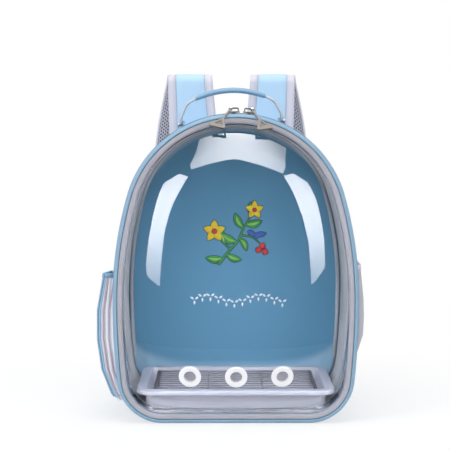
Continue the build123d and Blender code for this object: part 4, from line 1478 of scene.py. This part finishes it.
class CARRIER_OT_handle(bpy.types.Operator):
    """Make the carry handle: ribbed webbing legs and a rolled light blue grip"""
    bl_idname = "carrier.handle"
    bl_label = "Carry handle"

    def execute(self, context):
        foot, low = 72 * MM, 407.6 * MM
        run2d = [(-foot, low + 0.6 * MM), (-foot, low + 11 * MM), (-foot + 9 * MM, GRIP_Z - 17.5 * MM),
                 (-GRIP_HALF, GRIP_Z - GRIP_ARCH), (-GRIP_HALF * 0.65, GRIP_Z - GRIP_ARCH * 0.43)]
        run2d = run2d + [(0, GRIP_Z - 0.2 * MM)] + [(-x, z) for x, z in run2d[::-1]]
        run = rounded_run(run2d, 11 * MM, 3 * MM)
        total = sum((b - a).length for a, b in zip(run, run[1:]))

        def half(t):
            reach = abs(t - 0.5) * total
            near = max(0.0, min(1.0, (reach - 52 * MM) / (12 * MM)))
            return (4.4 + 8.1 * near * near * (3 - 2 * near)) * MM

        def put_point(q, across):
            foot_share = max(0.0, min(1.0, (low + 9 * MM - q.y) / (9 * MM)))
            across *= 1 - 0.62 * foot_share
            return along_crown(Vector((q.x, HANDLE_Y + across, q.y)), HANDLE_X)

        webbing = outward(grid("handle_webbing_strip",
                               strip_rows(run, half, 3.6 * MM, put_point, 0.22 * MM, 5),
                               loop_v=True, cap=True))
        dress(webbing, "handle", use("webbing"), ["handle_webbing"])
        rows = []
        n = 48
        for i in range(n + 1):
            t = -1 + 2 * i / n
            x = GRIP_HALF * t
            z = GRIP_Z - GRIP_ARCH * t * t
            end = (1 - abs(t) ** 14) ** 0.5
            row = []
            for k in range(24):
                a = 2 * math.pi * k / 24
                crease = 0.22 * MM * ripple(x, a * 6 * MM, 9 * MM, 61)
                seam = -0.5 * MM * math.exp(-((a - 4.9) / 0.16) ** 2)
                ry, rz = (GRIP_DEPTH + crease) * end, (GRIP_RISE + crease + seam) * end
                row.append(along_crown(Vector((x, HANDLE_Y + ry * math.cos(a),
                                               z + rz * math.sin(a))), HANDLE_X))
            rows.append(row)
        grip = outward(grid("handle_grip_roll", rows, loop_v=True, cap=True))
        dress(grip, "handle", use("trim"), ["handle_grip"])
        line = [along_crown(Vector((GRIP_HALF * t, HANDLE_Y + 1.6 * MM,
                                    GRIP_Z - GRIP_ARCH * t * t - GRIP_RISE + 0.1 * MM)), HANDLE_X)
                for t in steps(-0.95, 0.95, 0.05)]
        dress(join_parts("handle_stitches", stitch_parts(line)), "handle", use("blue_thread"))
        repaint(use("trim"), "sky_fabric", "handle_anchor_left", "handle_anchor_right")
        return {"FINISHED"}


# ---- harness ------------------------------------------------------------------------------------
RISE_Y, FALL_Y = 109.5 * MM, 127 * MM
STRAP_X = 62 * MM
STRAP_HALF = 32.5 * MM
STRAP_TOP = 479 * MM
STRAP_SPLAY = 7.5 * MM
STRAP_RUN = [(RISE_Y, 378 * MM), (RISE_Y, STRAP_TOP - 3.5 * MM), (FALL_Y, STRAP_TOP - 3.5 * MM),
             (FALL_Y + 11 * MM, 350 * MM), (FALL_Y + 11 * MM, 265.5 * MM)]
FAN = [(481, 62, 0), (403, 78, 0), (320, 89, 1.5), (261, 95, 4.5)]


def fan_at(z):
    """The hanging strap's middle and how much it narrows, at a height."""
    zs = [a[0] * MM for a in FAN][::-1]
    out = []
    for column in (1, 2):
        vs = [a[column] * MM for a in FAN][::-1]
        z1 = min(max(z, zs[0]), zs[-1])
        k = max(i for i in range(len(zs) - 1) if zs[i] <= z1 + 1e-9)
        h = zs[k + 1] - zs[k]
        t = (z1 - zs[k]) / h

        def slope(i):
            a, b = max(i - 1, 0), min(i + 1, len(zs) - 1)
            return (vs[b] - vs[a]) / (zs[b] - zs[a])
        m0, m1 = slope(k) * h, slope(k + 1) * h
        out.append((2 * t ** 3 - 3 * t * t + 1) * vs[k] + (t ** 3 - 2 * t * t + t) * m0
                   + (-2 * t ** 3 + 3 * t * t) * vs[k + 1] + (t ** 3 - t * t) * m1)
    return out


def strap_sides(p):
    """The strap's left and right edge for the right-hand strap at a point of its run."""
    if p.x < (RISE_Y + FALL_Y) / 2:
        wide = STRAP_SPLAY * (STRAP_TOP - p.y) / (79 * MM)
        return STRAP_X - STRAP_HALF - wide, STRAP_X + STRAP_HALF - wide / 4
    c, n = fan_at(p.y)
    return c - STRAP_HALF + n, c + STRAP_HALF - n


def strap_section(name, side, profile, trim=0.0):
    """A layer of the strap: profile gives (share across, lift) pairs for its section."""
    run = rounded_run(STRAP_RUN, 8.5 * MM, 3 * MM)
    rows = []
    for p, t in zip(run, tangents(run)):
        n = Vector((-t.y, t.x))
        left, right = strap_sides(p)
        mid, half = (left + right) / 2, (right - left) / 2 - trim
        row = []
        for u, w in profile:
            q = p + n * w
            x = mid + u * half
            row.append(Vector((HARNESS_X + side * x, q.x, q.y)))
        rows.append(row)
    return outward(grid(name, rows, loop_v=True, cap=True))


def pad_profile(thickness):
    pts = []
    for k in range(40):
        a = 2 * math.pi * k / 40
        c, s = math.cos(a), math.sin(a)
        u = math.copysign(abs(c) ** 0.30, c)
        w = math.copysign(abs(s) ** 0.55, s) * thickness / 2
        w *= 1 - 0.16 * math.exp(-((abs(u) - 0.68) / 0.05) ** 2)
        pts.append((u, w))
    return pts


class CARRIER_OT_straps(bpy.types.Operator):
    """Make the shoulder straps: mesh padding, blue facing, ribbons, webbing and anchors"""
    bl_idname = "carrier.straps"
    bl_label = "Shoulder straps"

    def execute(self, context):
        for side, name in ((-1, "left"), (1, "right")):
            pad = strap_section(f"strap_cushion_{name}", side, pad_profile(6.9 * MM), 0.6 * MM)
            dress(pad, "carrier", use("strap_mesh"), [f"strap_pad_{name}"])
            under = strap_section(f"strap_underlay_{name}", side,
                                  [(-0.94, -3.0 * MM), (-0.94, -3.75 * MM), (-0.3, -3.85 * MM),
                                   (0.3, -3.85 * MM), (0.94, -3.75 * MM), (0.94, -3.0 * MM)])
            dress(under, "carrier", use("strap_under"))
            f = 21 / 32.5
            face = [(-f, 3.2 * MM), (-f, 3.9 * MM), (-f * 0.96, 4.4 * MM), (-f * 0.5, 4.7 * MM),
                    (0, 4.8 * MM), (f * 0.5, 4.7 * MM), (f * 0.96, 4.4 * MM), (f, 3.9 * MM),
                    (f, 3.2 * MM)]
            facing = strap_section(f"strap_face_{name}", side, face)
            dress(facing, "carrier", use("strap"), [f"strap_facing_{name}"])
            for k, u in (("inner", -1), ("outer", 1)):
                ribbon = [(u * 0.655, 3.1 * MM), (u * 0.66, 4.0 * MM), (u * 0.95, 4.05 * MM),
                          (u * 0.985, 3.6 * MM), (u * 1.01, 2.0 * MM), (u * 1.015, 0.0),
                          (u * 1.01, -2.0 * MM), (u * 0.985, -3.6 * MM), (u * 0.95, -4.05 * MM),
                          (u * 0.905, -3.9 * MM), (u * 0.90, -3.1 * MM), (u * 0.97, 0.0)]
                dress(strap_section(f"strap_ribbon_{k}_{name}", side, ribbon), "carrier",
                      use("edge"))
            run = rounded_run(STRAP_RUN, 8.5 * MM, 3 * MM)
            parts = []
            for u, lift in ((-f * 1.03, 3.65), (f * 1.03, 3.65), (-0.92, 4.0), (0.92, 4.0)):
                line = []
                for p, t in zip(run, tangents(run)):
                    left, right = strap_sides(p)
                    q = p + Vector((-t.y, t.x)) * (lift * MM)
                    line.append(Vector((HARNESS_X + side * ((left + right) / 2
                                                            + u * (right - left) / 2), q.x, q.y)))
                parts += stitch_parts(line, length=sizes().stitch)
            dress(join_parts(f"strap_stitches_{name}", parts), "carrier", use("thread"))
            self.webbing(side, name)
            repaint(use("buckle"), "black_plastic", f"ladder_buckle_{name}")
        return {"FINISHED"}

    def webbing(self, side, name):
        """The lower webbing from the buckle to its anchor, and the anchor patch."""
        run = rounded_run([(139.6 * MM, 243 * MM), (138 * MM, 200 * MM), (120.5 * MM, 73 * MM),
                           (108.3 * MM, 52 * MM), (108.3 * MM, 37 * MM)], 6 * MM, 3 * MM)

        def middle(z):
            pts = [(34, 110.5), (110, 106), (190, 97.5), (251, 94)]
            for (z0, x0), (z1, x1) in zip(pts, pts[1:]):
                if z <= z1 * MM:
                    t = (z / MM - z0) / (z1 - z0)
                    return (x0 + (x1 - x0) * max(0, t)) * MM
            return pts[-1][1] * MM

        def put_point(q, across):
            return Vector((HARNESS_X + side * (middle(q.y) + across), q.x, q.y))

        strip = outward(grid(f"strap_tail_{name}", strip_rows(run, lambda t: 12.3 * MM, 1.5 * MM,
                                                              put_point, 0.2 * MM, 6),
                             loop_v=True, cap=True))
        dress(strip, "carrier", use("webbing"), [f"strap_webbing_{name}"])
        x0 = 94 * MM
        corners = [(x0 + 1 * MM, 34 * MM), (x0 + 34 * MM, 34 * MM), (x0 + 30 * MM, 66 * MM),
                   (x0 + 4 * MM, 66 * MM)]
        rows = []
        for t in steps(0, 1, 0.1):
            row = []
            for u in steps(0, 1, 0.1):
                a = Vector(corners[0]).lerp(Vector(corners[1]), u)
                b = Vector(corners[3]).lerp(Vector(corners[2]), u)
                p = a.lerp(b, t)
                puff = 0.6 * MM * math.sin(math.pi * u) * math.sin(math.pi * t)
                row.append(Vector((HARNESS_X + side * p.x, 106.4 * MM + puff, p.y)))
            rows.append(row)
        patch = thicken(grid(f"strap_patch_{name}", rows), 2.0 * MM)
        dress(patch, "carrier", use("webbing"), [f"strap_anchor_{name}"])
        loop = [Vector((HARNESS_X + side * x, 107.9 * MM, z)) for x, z in
                ((x0 + 6 * MM, 37 * MM), (x0 + 29 * MM, 37 * MM), (x0 + 26 * MM, 63 * MM),
                 (x0 + 8 * MM, 63 * MM), (x0 + 6 * MM, 37 * MM), (x0 + 26 * MM, 63 * MM))]
        dress(join_parts(f"patch_stitches_{name}", stitch_parts(loop)), "carrier",
              use("thread"))


class CARRIER_OT_back_pad(bpy.types.Operator):
    """Make the padded back: an inflated mesh cushion with two sewn channels"""
    bl_idname = "carrier.back_pad"
    bl_label = "Back pad"

    def execute(self, context):
        low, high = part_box("back_pad")
        y0, y1 = low.y + 0.4 * MM, high.y - 3.0 * MM
        outline = []
        for s in round_arch(6 * MM):
            p = on_arch(s, 31 * MM, 0)
            outline.append(Vector((max(-114 * MM, min(114 * MM, p.x)), 0,
                                   max(74 * MM, min(368 * MM, p.z)))))
        middle = Vector((0, 0, 215 * MM))
        rows = []
        for t in (0.0, 0.12, 0.3, 0.5, 0.7, 0.85, 0.95):
            rows.append([p.lerp(middle, t) for p in outline])
        n = len(outline)
        verts, faces = [], []
        for y in (y0, y1):
            base = len(verts)
            verts += [Vector((p.x, y, p.z)) for row in rows for p in row]
            for i in range(len(rows) - 1):
                for j in range(n):
                    m = (j + 1) % n
                    faces.append((base + i * n + j, base + i * n + m,
                                  base + (i + 1) * n + m, base + (i + 1) * n + j))
            hub = len(verts)
            verts.append(Vector((0, y, middle.z)))
            faces += [(base + (len(rows) - 1) * n + j, base + (len(rows) - 1) * n + (j + 1) % n,
                       hub) for j in range(n)]
        half = len(rows) * n + 1
        faces += [(j, (j + 1) % n, half + (j + 1) % n, half + j) for j in range(n)]
        pad = outward(mesh_piece("back_cushion", verts, faces))
        remesh = pad.modifiers.new("remesh", "REMESH")
        remesh.mode = "VOXEL"
        remesh.voxel_size = 4.5 * MM
        settle(pad)
        rest = [v.co.copy() for v in pad.data.vertices]
        inflate(pad, rest, sizes().puff)
        for v in pad.data.vertices:
            if v.co.y > (y0 + y1) / 2:
                for x in (-40 * MM, 40 * MM):
                    dip = math.exp(-((v.co.x - x) / (5.5 * MM)) ** 2)
                    v.co.y -= dip * 5.0 * MM
            v.co.y = max(v.co.y, low.y + 0.3 * MM)
        sub = pad.modifiers.new("sub", "SUBSURF")
        sub.levels = 1
        settle(pad)
        pad.data.polygons.foreach_set("use_smooth", [True] * len(pad.data.polygons))
        flat_uv(pad, (0, 2))
        dress(pad, "carrier", use("pad"), ["back_pad"])
        path = []
        for s in round_arch(5 * MM):
            p = on_arch(s, 30.5 * MM, 0)
            path.append(Vector((max(-115 * MM, min(115 * MM, p.x)), 107.2 * MM,
                                max(73 * MM, min(369 * MM, p.z)))))
        clean = [path[0]]
        for p in path[1:]:
            if (p - clean[-1]).length > 1.5 * MM:
                clean.append(p)
        cord = tube("back_pad_welt", clean, 2.0 * MM, sides=8, closed=True)
        dress(cord, "carrier", use("trim"))
        return {"FINISHED"}


def inflate(obj, rest, limit):
    """Swell a closed mesh by cloth simulation, with each point's travel capped."""
    scene = bpy.context.scene
    soft = obj.modifiers.new("cloth", "CLOTH")
    soft.settings.quality = 5
    soft.settings.mass = 0.2
    soft.settings.use_pressure = True
    soft.settings.uniform_pressure_force = 4.0
    soft.settings.effector_weights.gravity = 0.0
    soft.point_cache.frame_start = 1
    soft.point_cache.frame_end = 20
    for step in range(1, 21):
        scene.frame_set(step)
    settle(obj)
    for v, p in zip(obj.data.vertices, rest):
        move = v.co - p
        if move.length > limit:
            v.co = p + move * (limit / move.length)
    scene.frame_set(1)


# ---- pockets ---------------------------------------------------------------------------------------
POCKET_Y = (-66 * MM, 72 * MM)
POUCH_RUN = [(15.4, 201.5), (24.5, 150), (24.8, 110), (19, 68), (2.7, 26), (-20, 26)]
NET_RUN = [(5.2, 213), (10.2, 166), (11, 140), (10, 115), (1, 88), (-20, 84)]


def pocket_run(points, bend):
    return rounded_run([(r * MM, z * MM) for r, z in points], bend)


def mouth_height(side, y, z):
    """The pouch's rim sags towards its rear; the net pocket's stays level."""
    if side > 0 or z < 146 * MM:
        return z
    share = (y - POCKET_Y[0]) / (POCKET_Y[1] - POCKET_Y[0])
    return z - 12 * MM * share * (z - 146 * MM) / (55.5 * MM)


def wall_reach(z):
    """The shell's half width at a height."""
    return on_arch(length_at_height(max(z, 1 * MM)), 0, 0).x


def pocket_face(name, side, run, corner, thickness):
    """The outer panel of a side pocket, with rounded front and rear corners."""
    y0, y1 = POCKET_Y
    half = BODY_WIDTH / 2
    rows = []
    for p in run:
        wall = wall_reach(p.y)
        outer = half + p.x
        if outer < wall - 1.5 * MM:
            break
        reach = outer - wall
        r = max(0.5 * MM, min(corner, reach * 0.9))
        row = []
        for a in steps(0, math.pi / 2, math.pi / 2 / 6):
            row.append((outer - r + r * math.sin(a), y0 + r - r * math.cos(a)))
        for t in steps(0.04, 0.96, 0.046):
            y = y0 + r + (y1 - y0 - 2 * r) * t
            row.append((outer + 0.5 * MM * ripple(y, p.y, 30 * MM, 71), y))
        for a in steps(math.pi / 2, 0, math.pi / 2 / 6):
            row.append((outer - r + r * math.sin(a), y1 - r + r * math.cos(a)))
        rows.append([Vector((side * x, y, mouth_height(side, y, p.y))) for x, y in row])
    return thicken(grid(name, rows), thickness)


def pocket_gusset(name, side, run, y, way, thickness, pleats, depth, corner):
    """A side of a pocket, from the wall out to the outer panel, folded in pleats."""
    half = BODY_WIDTH / 2
    rows = []
    for p in run:
        wall = wall_reach(p.y) - 0.5 * MM
        outer = half + p.x - corner
        row = []
        count = max(2, pleats * 8)
        for k in range(count + 1):
            t = k / count
            fold = depth * (0.5 - 0.5 * math.cos(2 * math.pi * pleats * t)) if pleats else 0
            x = wall + (max(outer, wall + 0.5 * MM) - wall) * t
            row.append(Vector((side * x, y + way * (fold - depth * 0.5)
                               + 0.4 * MM * ripple(p.y, t, 0.05, 72),
                               mouth_height(side, y, p.y))))
        rows.append(row)
    return thicken(grid(name, rows), thickness)


class CARRIER_OT_pockets(bpy.types.Operator):
    """Make the pleated pouch on the left and the net pocket on the right"""
    bl_idname = "carrier.pockets"
    bl_label = "Side pockets"

    def execute(self, context):
        run = pocket_run(POUCH_RUN, 16 * MM)
        face = pocket_face("pouch_face", -1, run, 5 * MM, 1.6 * MM)
        dress(face, "carrier", use("pouch"), ["side_pouch_left"])
        low, high = POCKET_Y
        for tag, y, way in (("front", low + 2.4 * MM, -1), ("rear", high - 2.4 * MM, 1)):
            gusset = pocket_gusset(f"pouch_bellows_{tag}", -1, run, y, way, 1.2 * MM, 3,
                                   3.4 * MM, 2.5 * MM)
            dress(gusset, "carrier", use("bellows"))
            for k, inset in enumerate((1.2, 8.6, 15.8)):
                path = []
                for p in run:
                    if p.y < 30 * MM:
                        continue
                    x = max(BODY_WIDTH / 2 + p.x - inset * MM, wall_reach(p.y) + 1.2 * MM)
                    path.append(Vector((-x, y + way * (1.6 + (k == 0) * 0.8) * MM,
                                        mouth_height(-1, y, p.y))))
                cord = tube(f"pouch_cord_{tag}_{k}", path, (1.5 if k == 0 else 0.9) * MM, sides=8)
                dress(cord, "carrier", use("trim" if k == 0 else "thread"))
        self.top_edge("pouch_top_band", -1, run, 201.5, use("trim"), "light_blue_trim",
                      ["pouch_binding_left"], 5 * MM)
        run = pocket_run(NET_RUN, 12 * MM)
        net = pocket_face("net_pocket_face", 1, run, 8 * MM, 1.0 * MM)
        dress(net, "carrier", use("pocket_net"), ["mesh_pocket_right"])
        self.top_edge("net_pocket_band", 1, run, 213, use("edge"), "grey_binding",
                      ["pocket_binding_right"], 8 * MM)
        return {"FINISHED"}

    def top_edge(self, name, side, run, top, material, slot, nodes, corner):
        """An elastic band that gathers the top edge of a pocket."""
        rows = []
        y0, y1 = POCKET_Y
        half = BODY_WIDTH / 2
        upper = [p for p in run if p.y > (top - 8.5) * MM]
        for p in upper:
            row = []
            outer = half + p.x
            wall = wall_reach(p.y)
            r = max(0.5 * MM, min(corner, (outer - wall) * 0.9))
            for x, y in ([(wall, y0)] + [(outer - r + r * math.sin(a), y0 + r - r * math.cos(a))
                                         for a in steps(0, math.pi / 2, math.pi / 12)]
                         + [(outer, y0 + r + (y1 - y0 - 2 * r) * t)
                            for t in steps(0.02, 0.98, 0.02)]
                         + [(outer - r + r * math.sin(a), y1 - r + r * math.cos(a))
                            for a in steps(math.pi / 2, 0, math.pi / 12)] + [(wall, y1)]):
                gather = 0.5 * MM * math.sin(y / (1.5 * MM))
                row.append(Vector((side * (x + 0.3 * MM + gather), y,
                                   mouth_height(side, y, p.y))))
            rows.append(row)
        band = thicken(grid(name, rows), 2.2 * MM)
        dress(band, "carrier", material, nodes)


# ---- stage ----------------------------------------------------------------------------------------
CAMERA_AT = Vector((-0.021, -1.8833, 0.410))
CAMERA_PITCH = math.radians(4.47)
CAMERA_YAW = math.radians(0.20)
LENS = 106.24
SENSOR_WIDTH = 36
FRAME_PIXELS = 450
CARD_REACH = 1.5
CARD_EDGE_SHARE = 0.32
LAMP_COLOUR = (1.0, 0.995, 0.985)
DARK_CLOTH = (0.09, 0.1, 0.12, 1)

# Outlines of the three glints on the film, in pixels across and down the square frame.
GLINT_LEFT = [(186.4, 174.5), (164, 182.7), (145.8, 265.7), (159.6, 286.3), (161, 264.8),
              (164.1, 233.6), (170.8, 209.5)]
GLINT_RIGHT = [(285.1, 174.2), (307.5, 182), (319.3, 211.3), (323.8, 238), (325.4, 267.5),
               (311.3, 284.9), (310.8, 269.3), (308.6, 242.5), (302.3, 215.7), (288, 180)]
GLINT_TOP = [(188.5, 166.3), (199.7, 138.8), (235.8, 133), (286.2, 148.2), (284.6, 171.5),
             (234.7, 156.8)]


def camera_way():
    """The way the camera looks."""
    level = math.cos(CAMERA_PITCH)
    return Vector((math.sin(CAMERA_YAW) * level, math.cos(CAMERA_YAW) * level,
                   -math.sin(CAMERA_PITCH)))


def sight_line(across, down):
    """The way from the camera through a pixel of the frame."""
    way = camera_way()
    right = Vector((math.cos(CAMERA_YAW), -math.sin(CAMERA_YAW), 0))
    reach = LENS / SENSOR_WIDTH * FRAME_PIXELS
    middle = FRAME_PIXELS / 2
    return (way * reach + right * (across - middle)
            + right.cross(way) * (middle - down)).normalized()


def inset_of(x, z):
    """How far a point lies inside the arch-shaped outline."""
    x = abs(x)
    insets = [BODY_HEIGHT]
    if x <= FOOT_X:
        insets.append(z)
    for cx, cz, r, a0, a1 in ARCS[:4]:
        if a0 <= math.atan2(z - cz, x - cx) <= a1:
            insets.append(r - math.hypot(x - cx, z - cz))
    return min(insets)


def film_depth(x, z):
    """Depth of the film's outer face, with the round shoulder inside its edge."""
    short = FILM_SHOULDER - min(inset_of(x, z) - WINDOW_INSET, FILM_SHOULDER)
    drop = math.sqrt(max(FILM_SHOULDER ** 2 - short ** 2, 0))
    return film_crown(x, z) + FILM_SHOULDER - drop


def film_mirror(across, down):
    """Where the sight line through a pixel meets the film, and the way it is mirrored."""
    sight = sight_line(across, down)
    near, far = 1.4, 2.0
    for _ in range(40):
        reach = (near + far) / 2
        at = CAMERA_AT + sight * reach
        if at.y < film_depth(at.x, at.z):
            near = reach
        else:
            far = reach
    tiny = 0.1 * MM
    normal = Vector((film_depth(at.x + tiny, at.z) - film_depth(at.x - tiny, at.z), -2 * tiny,
                     film_depth(at.x, at.z + tiny) - film_depth(at.x, at.z - tiny))).normalized()
    return at, sight - normal * (2 * sight.dot(normal))


def card_corners(glint, bearing, tilt, aim):
    """The corners of a flat card that is mirrored in the film as the given glint."""
    bearing, tilt = math.radians(bearing), math.radians(tilt)
    facing = Vector((math.sin(bearing) * math.cos(tilt), -math.cos(bearing) * math.cos(tilt),
                     math.sin(tilt)))
    middle = Vector(aim) + facing * CARD_REACH
    corners = []
    for across, down in glint:
        at, way = film_mirror(across, down)
        corners.append(at + way * ((middle - at).dot(facing) / way.dot(facing)))
    return corners


class CARRIER_OT_stage(bpy.types.Operator):
    """Make the floor, backdrop, lamps, reflector cards and camera"""
    bl_idname = "carrier.stage"
    bl_label = "Stage"

    # For each card: its glint, bearing and tilt in degrees, aim, strength, and the axis,
    # centre and width of its brightest part.
    CARDS = {
        "card_left": (GLINT_LEFT, -32, 8, (-0.1, -0.148, 0.26), 11.6, (2, 0.63, 0.91)),
        "card_right": (GLINT_RIGHT, 32, 8, (0.1, -0.148, 0.26), 11.3, (2, 0.63, 0.91)),
        "card_top": (GLINT_TOP, 0, 55, (0, -0.14, 0.36), 9.2, (0, 0.06, 0.98)),
    }

    def execute(self, context):
        self.world()
        self.floor()
        for name, at, aim, size, energy in (
                ("key_lamp", (-2.0, -1.6, 1.7), (0, 0, 0.2), 1.1, 29),
                ("fill_lamp", (2.0, -1.5, 1.3), (0, 0, 0.2), 1.2, 13),
                ("front_lamp", (0.0, -2.7, 0.5), (0, 0, 0.22), 1.0, 5),
                ("top_lamp", (0.0, -0.5, 2.2), (0, 0, 0.2), 1.6, 20),
                ("back_lamp", (0.4, 2.2, 1.3), (0, 0, 0.25), 1.4, 14)):
            self.lamp(name, "AREA", at, aim, energy, size=size, color=LAMP_COLOUR)
        self.lamp("panel_lamp", "SPOT", (-0.06, -2.4, 0.5), (-0.03, 0.09, 0.25), 44,
                  spot_size=math.radians(11.5), spot_blend=1.0, shadow_soft_size=0.2)
        for name, (glint, bearing, tilt, aim, strength, hump) in self.CARDS.items():
            self.panel(name, card_corners(glint, bearing, tilt, aim),
                       self.glow(name, (1.0, 0.985, 0.99, 1.0), strength, hump))
        self.flags()
        self.camera()
        return {"FINISHED"}

    def lamp(self, name, kind, at, aim, energy, **settings):
        data = bpy.data.lights.new(name, kind)
        data.energy = energy
        for key, value in settings.items():
            setattr(data, key, value)
        lamp = link(bpy.data.objects.new(name, data))
        lamp.location = at
        lamp.rotation_euler = (Vector(aim) - Vector(at)).to_track_quat("-Z", "Y").to_euler()
        lamp.visible_glossy = False
        lamp.visible_transmission = False

    def panel(self, name, corners, material):
        """A flat card or cloth that only gloss can see."""
        mesh = bpy.data.meshes.new(name)
        mesh.from_pydata(corners, [], [tuple(range(len(corners)))])
        mesh.materials.append(material)
        panel = link(bpy.data.objects.new(name, mesh))
        panel.visible_camera = False
        panel.visible_diffuse = False
        panel.visible_shadow = False
        return panel

    def glow(self, name, colour, strength, hump=(2, 0.0, 99.0)):
        """A glow that is strongest where one coordinate is at hump's centre."""
        axis, centre, width = hump
        material = bpy.data.materials.new(name)
        tree = fresh_tree(material)
        at = put(tree, "ShaderNodeSeparateXYZ",
                 {0: put(tree, "ShaderNodeTexCoord").outputs["Object"]}).outputs[axis]
        off = calc(tree, "ABSOLUTE", calc(tree, "SUBTRACT", at, centre))
        share = put(tree, "ShaderNodeMapRange", {"Value": off, "From Max": width, "To Min": 1.0,
                                                 "To Max": CARD_EDGE_SHARE},
                    interpolation_type="SMOOTHSTEP").outputs[0]
        emission = put(tree, "ShaderNodeEmission",
                       {"Color": colour, "Strength": calc(tree, "MULTIPLY", share, strength)})
        put(tree, "ShaderNodeOutputMaterial", {"Surface": emission.outputs[0]})
        return material

    def flags(self):
        """Dark cloths round the camera that keep the film's middle free of glare."""
        material = self.glow("flag_cloth", DARK_CLOTH, 1.0)
        left, front, low, top = -2.6, -3.0, -0.6, 3.2
        across, deep, tall = Vector((5.2, 0, 0)), Vector((0, 3.6, 0)), Vector((0, 0, 3.8))
        for name, corner, along, up in (
                ("flag_front", (left, front, low), across, tall),
                ("flag_left", (left, front, low), deep, tall),
                ("flag_right", (-left, front, low), deep, tall),
                ("flag_floor", (left, front, -0.4), across, Vector((0, 2.86, 0))),
                ("flag_top", (left, front, top), across, deep)):
            corner = Vector(corner)
            corners = [corner, corner + along, corner + along + up, corner + up]
            self.panel(name, corners, material).visible_transmission = False

    def seen(self, tree):
        """1 where a camera, glossy or transmitted ray looks, 0 for light that was scattered."""
        path = put(tree, "ShaderNodeLightPath").outputs
        both = calc(tree, "MAXIMUM", path["Is Camera Ray"], path["Is Glossy Ray"])
        both = calc(tree, "MAXIMUM", both, path["Is Transmission Ray"])
        return calc(tree, "MULTIPLY", both, calc(tree, "LESS_THAN", path["Diffuse Depth"], 0.5))

    def world(self):
        world = bpy.data.worlds.new("studio")
        bpy.context.scene.world = world
        tree = fresh_tree(world)
        soft = put(tree, "ShaderNodeBackground", {"Color": (0.93, 0.96, 1.0, 1), "Strength": 0.48})
        white = put(tree, "ShaderNodeBackground", {"Color": (1, 1, 1, 1), "Strength": 1.0})
        mix = put(tree, "ShaderNodeMixShader", {0: self.seen(tree), 1: soft.outputs[0],
                                                2: white.outputs[0]})
        path = put(tree, "ShaderNodeLightPath").outputs
        inner = calc(tree, "MULTIPLY", path["Is Transmission Ray"],
                     calc(tree, "GREATER_THAN", path["Glossy Depth"], 0.5))
        dim = put(tree, "ShaderNodeBackground", {"Color": DARK_CLOTH, "Strength": 1.0})
        both = put(tree, "ShaderNodeMixShader", {0: inner, 1: mix.outputs[0],
                                                 2: dim.outputs[0]})
        put(tree, "ShaderNodeOutputWorld", {"Surface": both.outputs[0]})

    def floor(self):
        """A pale disc that takes the shadow and fades into the white backdrop."""
        radius, n = 0.8, 96
        mesh = bpy.data.meshes.new("floor")
        mesh.from_pydata([(radius * math.cos(2 * math.pi * i / n),
                           radius * math.sin(2 * math.pi * i / n), -0.0003) for i in range(n)],
                         [], [tuple(range(n))])
        floor = link(bpy.data.objects.new("floor", mesh))
        material = bpy.data.materials.new("studio_floor")
        tree = fresh_tree(material)
        place_at = put(tree, "ShaderNodeTexCoord").outputs["Object"]
        reach = put(tree, "ShaderNodeVectorMath", {0: place_at}, operation="LENGTH")
        fade = put(tree, "ShaderNodeMapRange", {0: reach.outputs["Value"], 1: 0.2, 2: 0.62,
                                                3: 0.66, 4: 1.0}, interpolation_type="SMOOTHSTEP")
        paint = put(tree, "ShaderNodeBsdfDiffuse", {"Color": (0.93, 0.93, 0.945, 1)})
        white = put(tree, "ShaderNodeEmission", {"Color": (1, 1, 1, 1), "Strength": 1.0})
        share = calc(tree, "MULTIPLY", self.seen(tree), fade.outputs[0])
        mix = put(tree, "ShaderNodeMixShader", {0: share, 1: paint.outputs[0],
                                                2: white.outputs[0]})
        put(tree, "ShaderNodeOutputMaterial", {"Surface": mix.outputs[0]})
        mesh.materials.append(material)
        floor.visible_glossy = False
        floor.visible_transmission = False

    def camera(self):
        data = bpy.data.cameras.new("camera")
        data.lens = LENS
        data.sensor_width = SENSOR_WIDTH
        data.clip_start = 0.05
        data.clip_end = 60
        camera = link(bpy.data.objects.new("camera", data))
        camera.location = CAMERA_AT
        camera.rotation_euler = camera_way().to_track_quat("-Z", "Y").to_euler()
        bpy.context.scene.camera = camera
        bpy.context.scene.view_settings.view_transform = "Standard"


class CARRIER_PT_panel(bpy.types.Panel):
    """Lists the carrier's pieces in the 3D view's sidebar"""
    bl_label = "Bird travel carrier"
    bl_idname = "CARRIER_PT_panel"
    bl_space_type = "VIEW_3D"
    bl_region_type = "UI"
    bl_category = "Carrier"

    def draw(self, context):
        layout = self.layout
        for group in (context.scene.carrier_sizes, context.scene.carrier_colours):
            box = layout.box()
            for name in group.bl_rna.properties.keys():
                if name not in ("rna_type", "name"):
                    box.prop(group, name)
        for operator in OPERATORS:
            layout.operator(operator.bl_idname)


OPERATORS = (CARRIER_OT_stage, CARRIER_OT_finishes, CARRIER_OT_shell, CARRIER_OT_door,
             CARRIER_OT_zip, CARRIER_OT_cabin, CARRIER_OT_print, CARRIER_OT_tray,
             CARRIER_OT_handle, CARRIER_OT_straps, CARRIER_OT_back_pad, CARRIER_OT_pockets)
CLASSES = (CarrierColours, CarrierSizes) + OPERATORS + (CARRIER_PT_panel,)


def register():
    for cls in CLASSES:
        bpy.utils.register_class(cls)
    bpy.types.Scene.carrier_colours = bpy.props.PointerProperty(type=CarrierColours)
    bpy.types.Scene.carrier_sizes = bpy.props.PointerProperty(type=CarrierSizes)


def unregister():
    del bpy.types.Scene.carrier_sizes
    del bpy.types.Scene.carrier_colours
    for cls in reversed(CLASSES):
        bpy.utils.unregister_class(cls)


def main():
    register()
    for operator in OPERATORS:
        group, name = operator.bl_idname.split(".")
        getattr(getattr(bpy.ops, group), name)()
    bpy.context.view_layer.update()


if __name__ == "__main__":
    main()
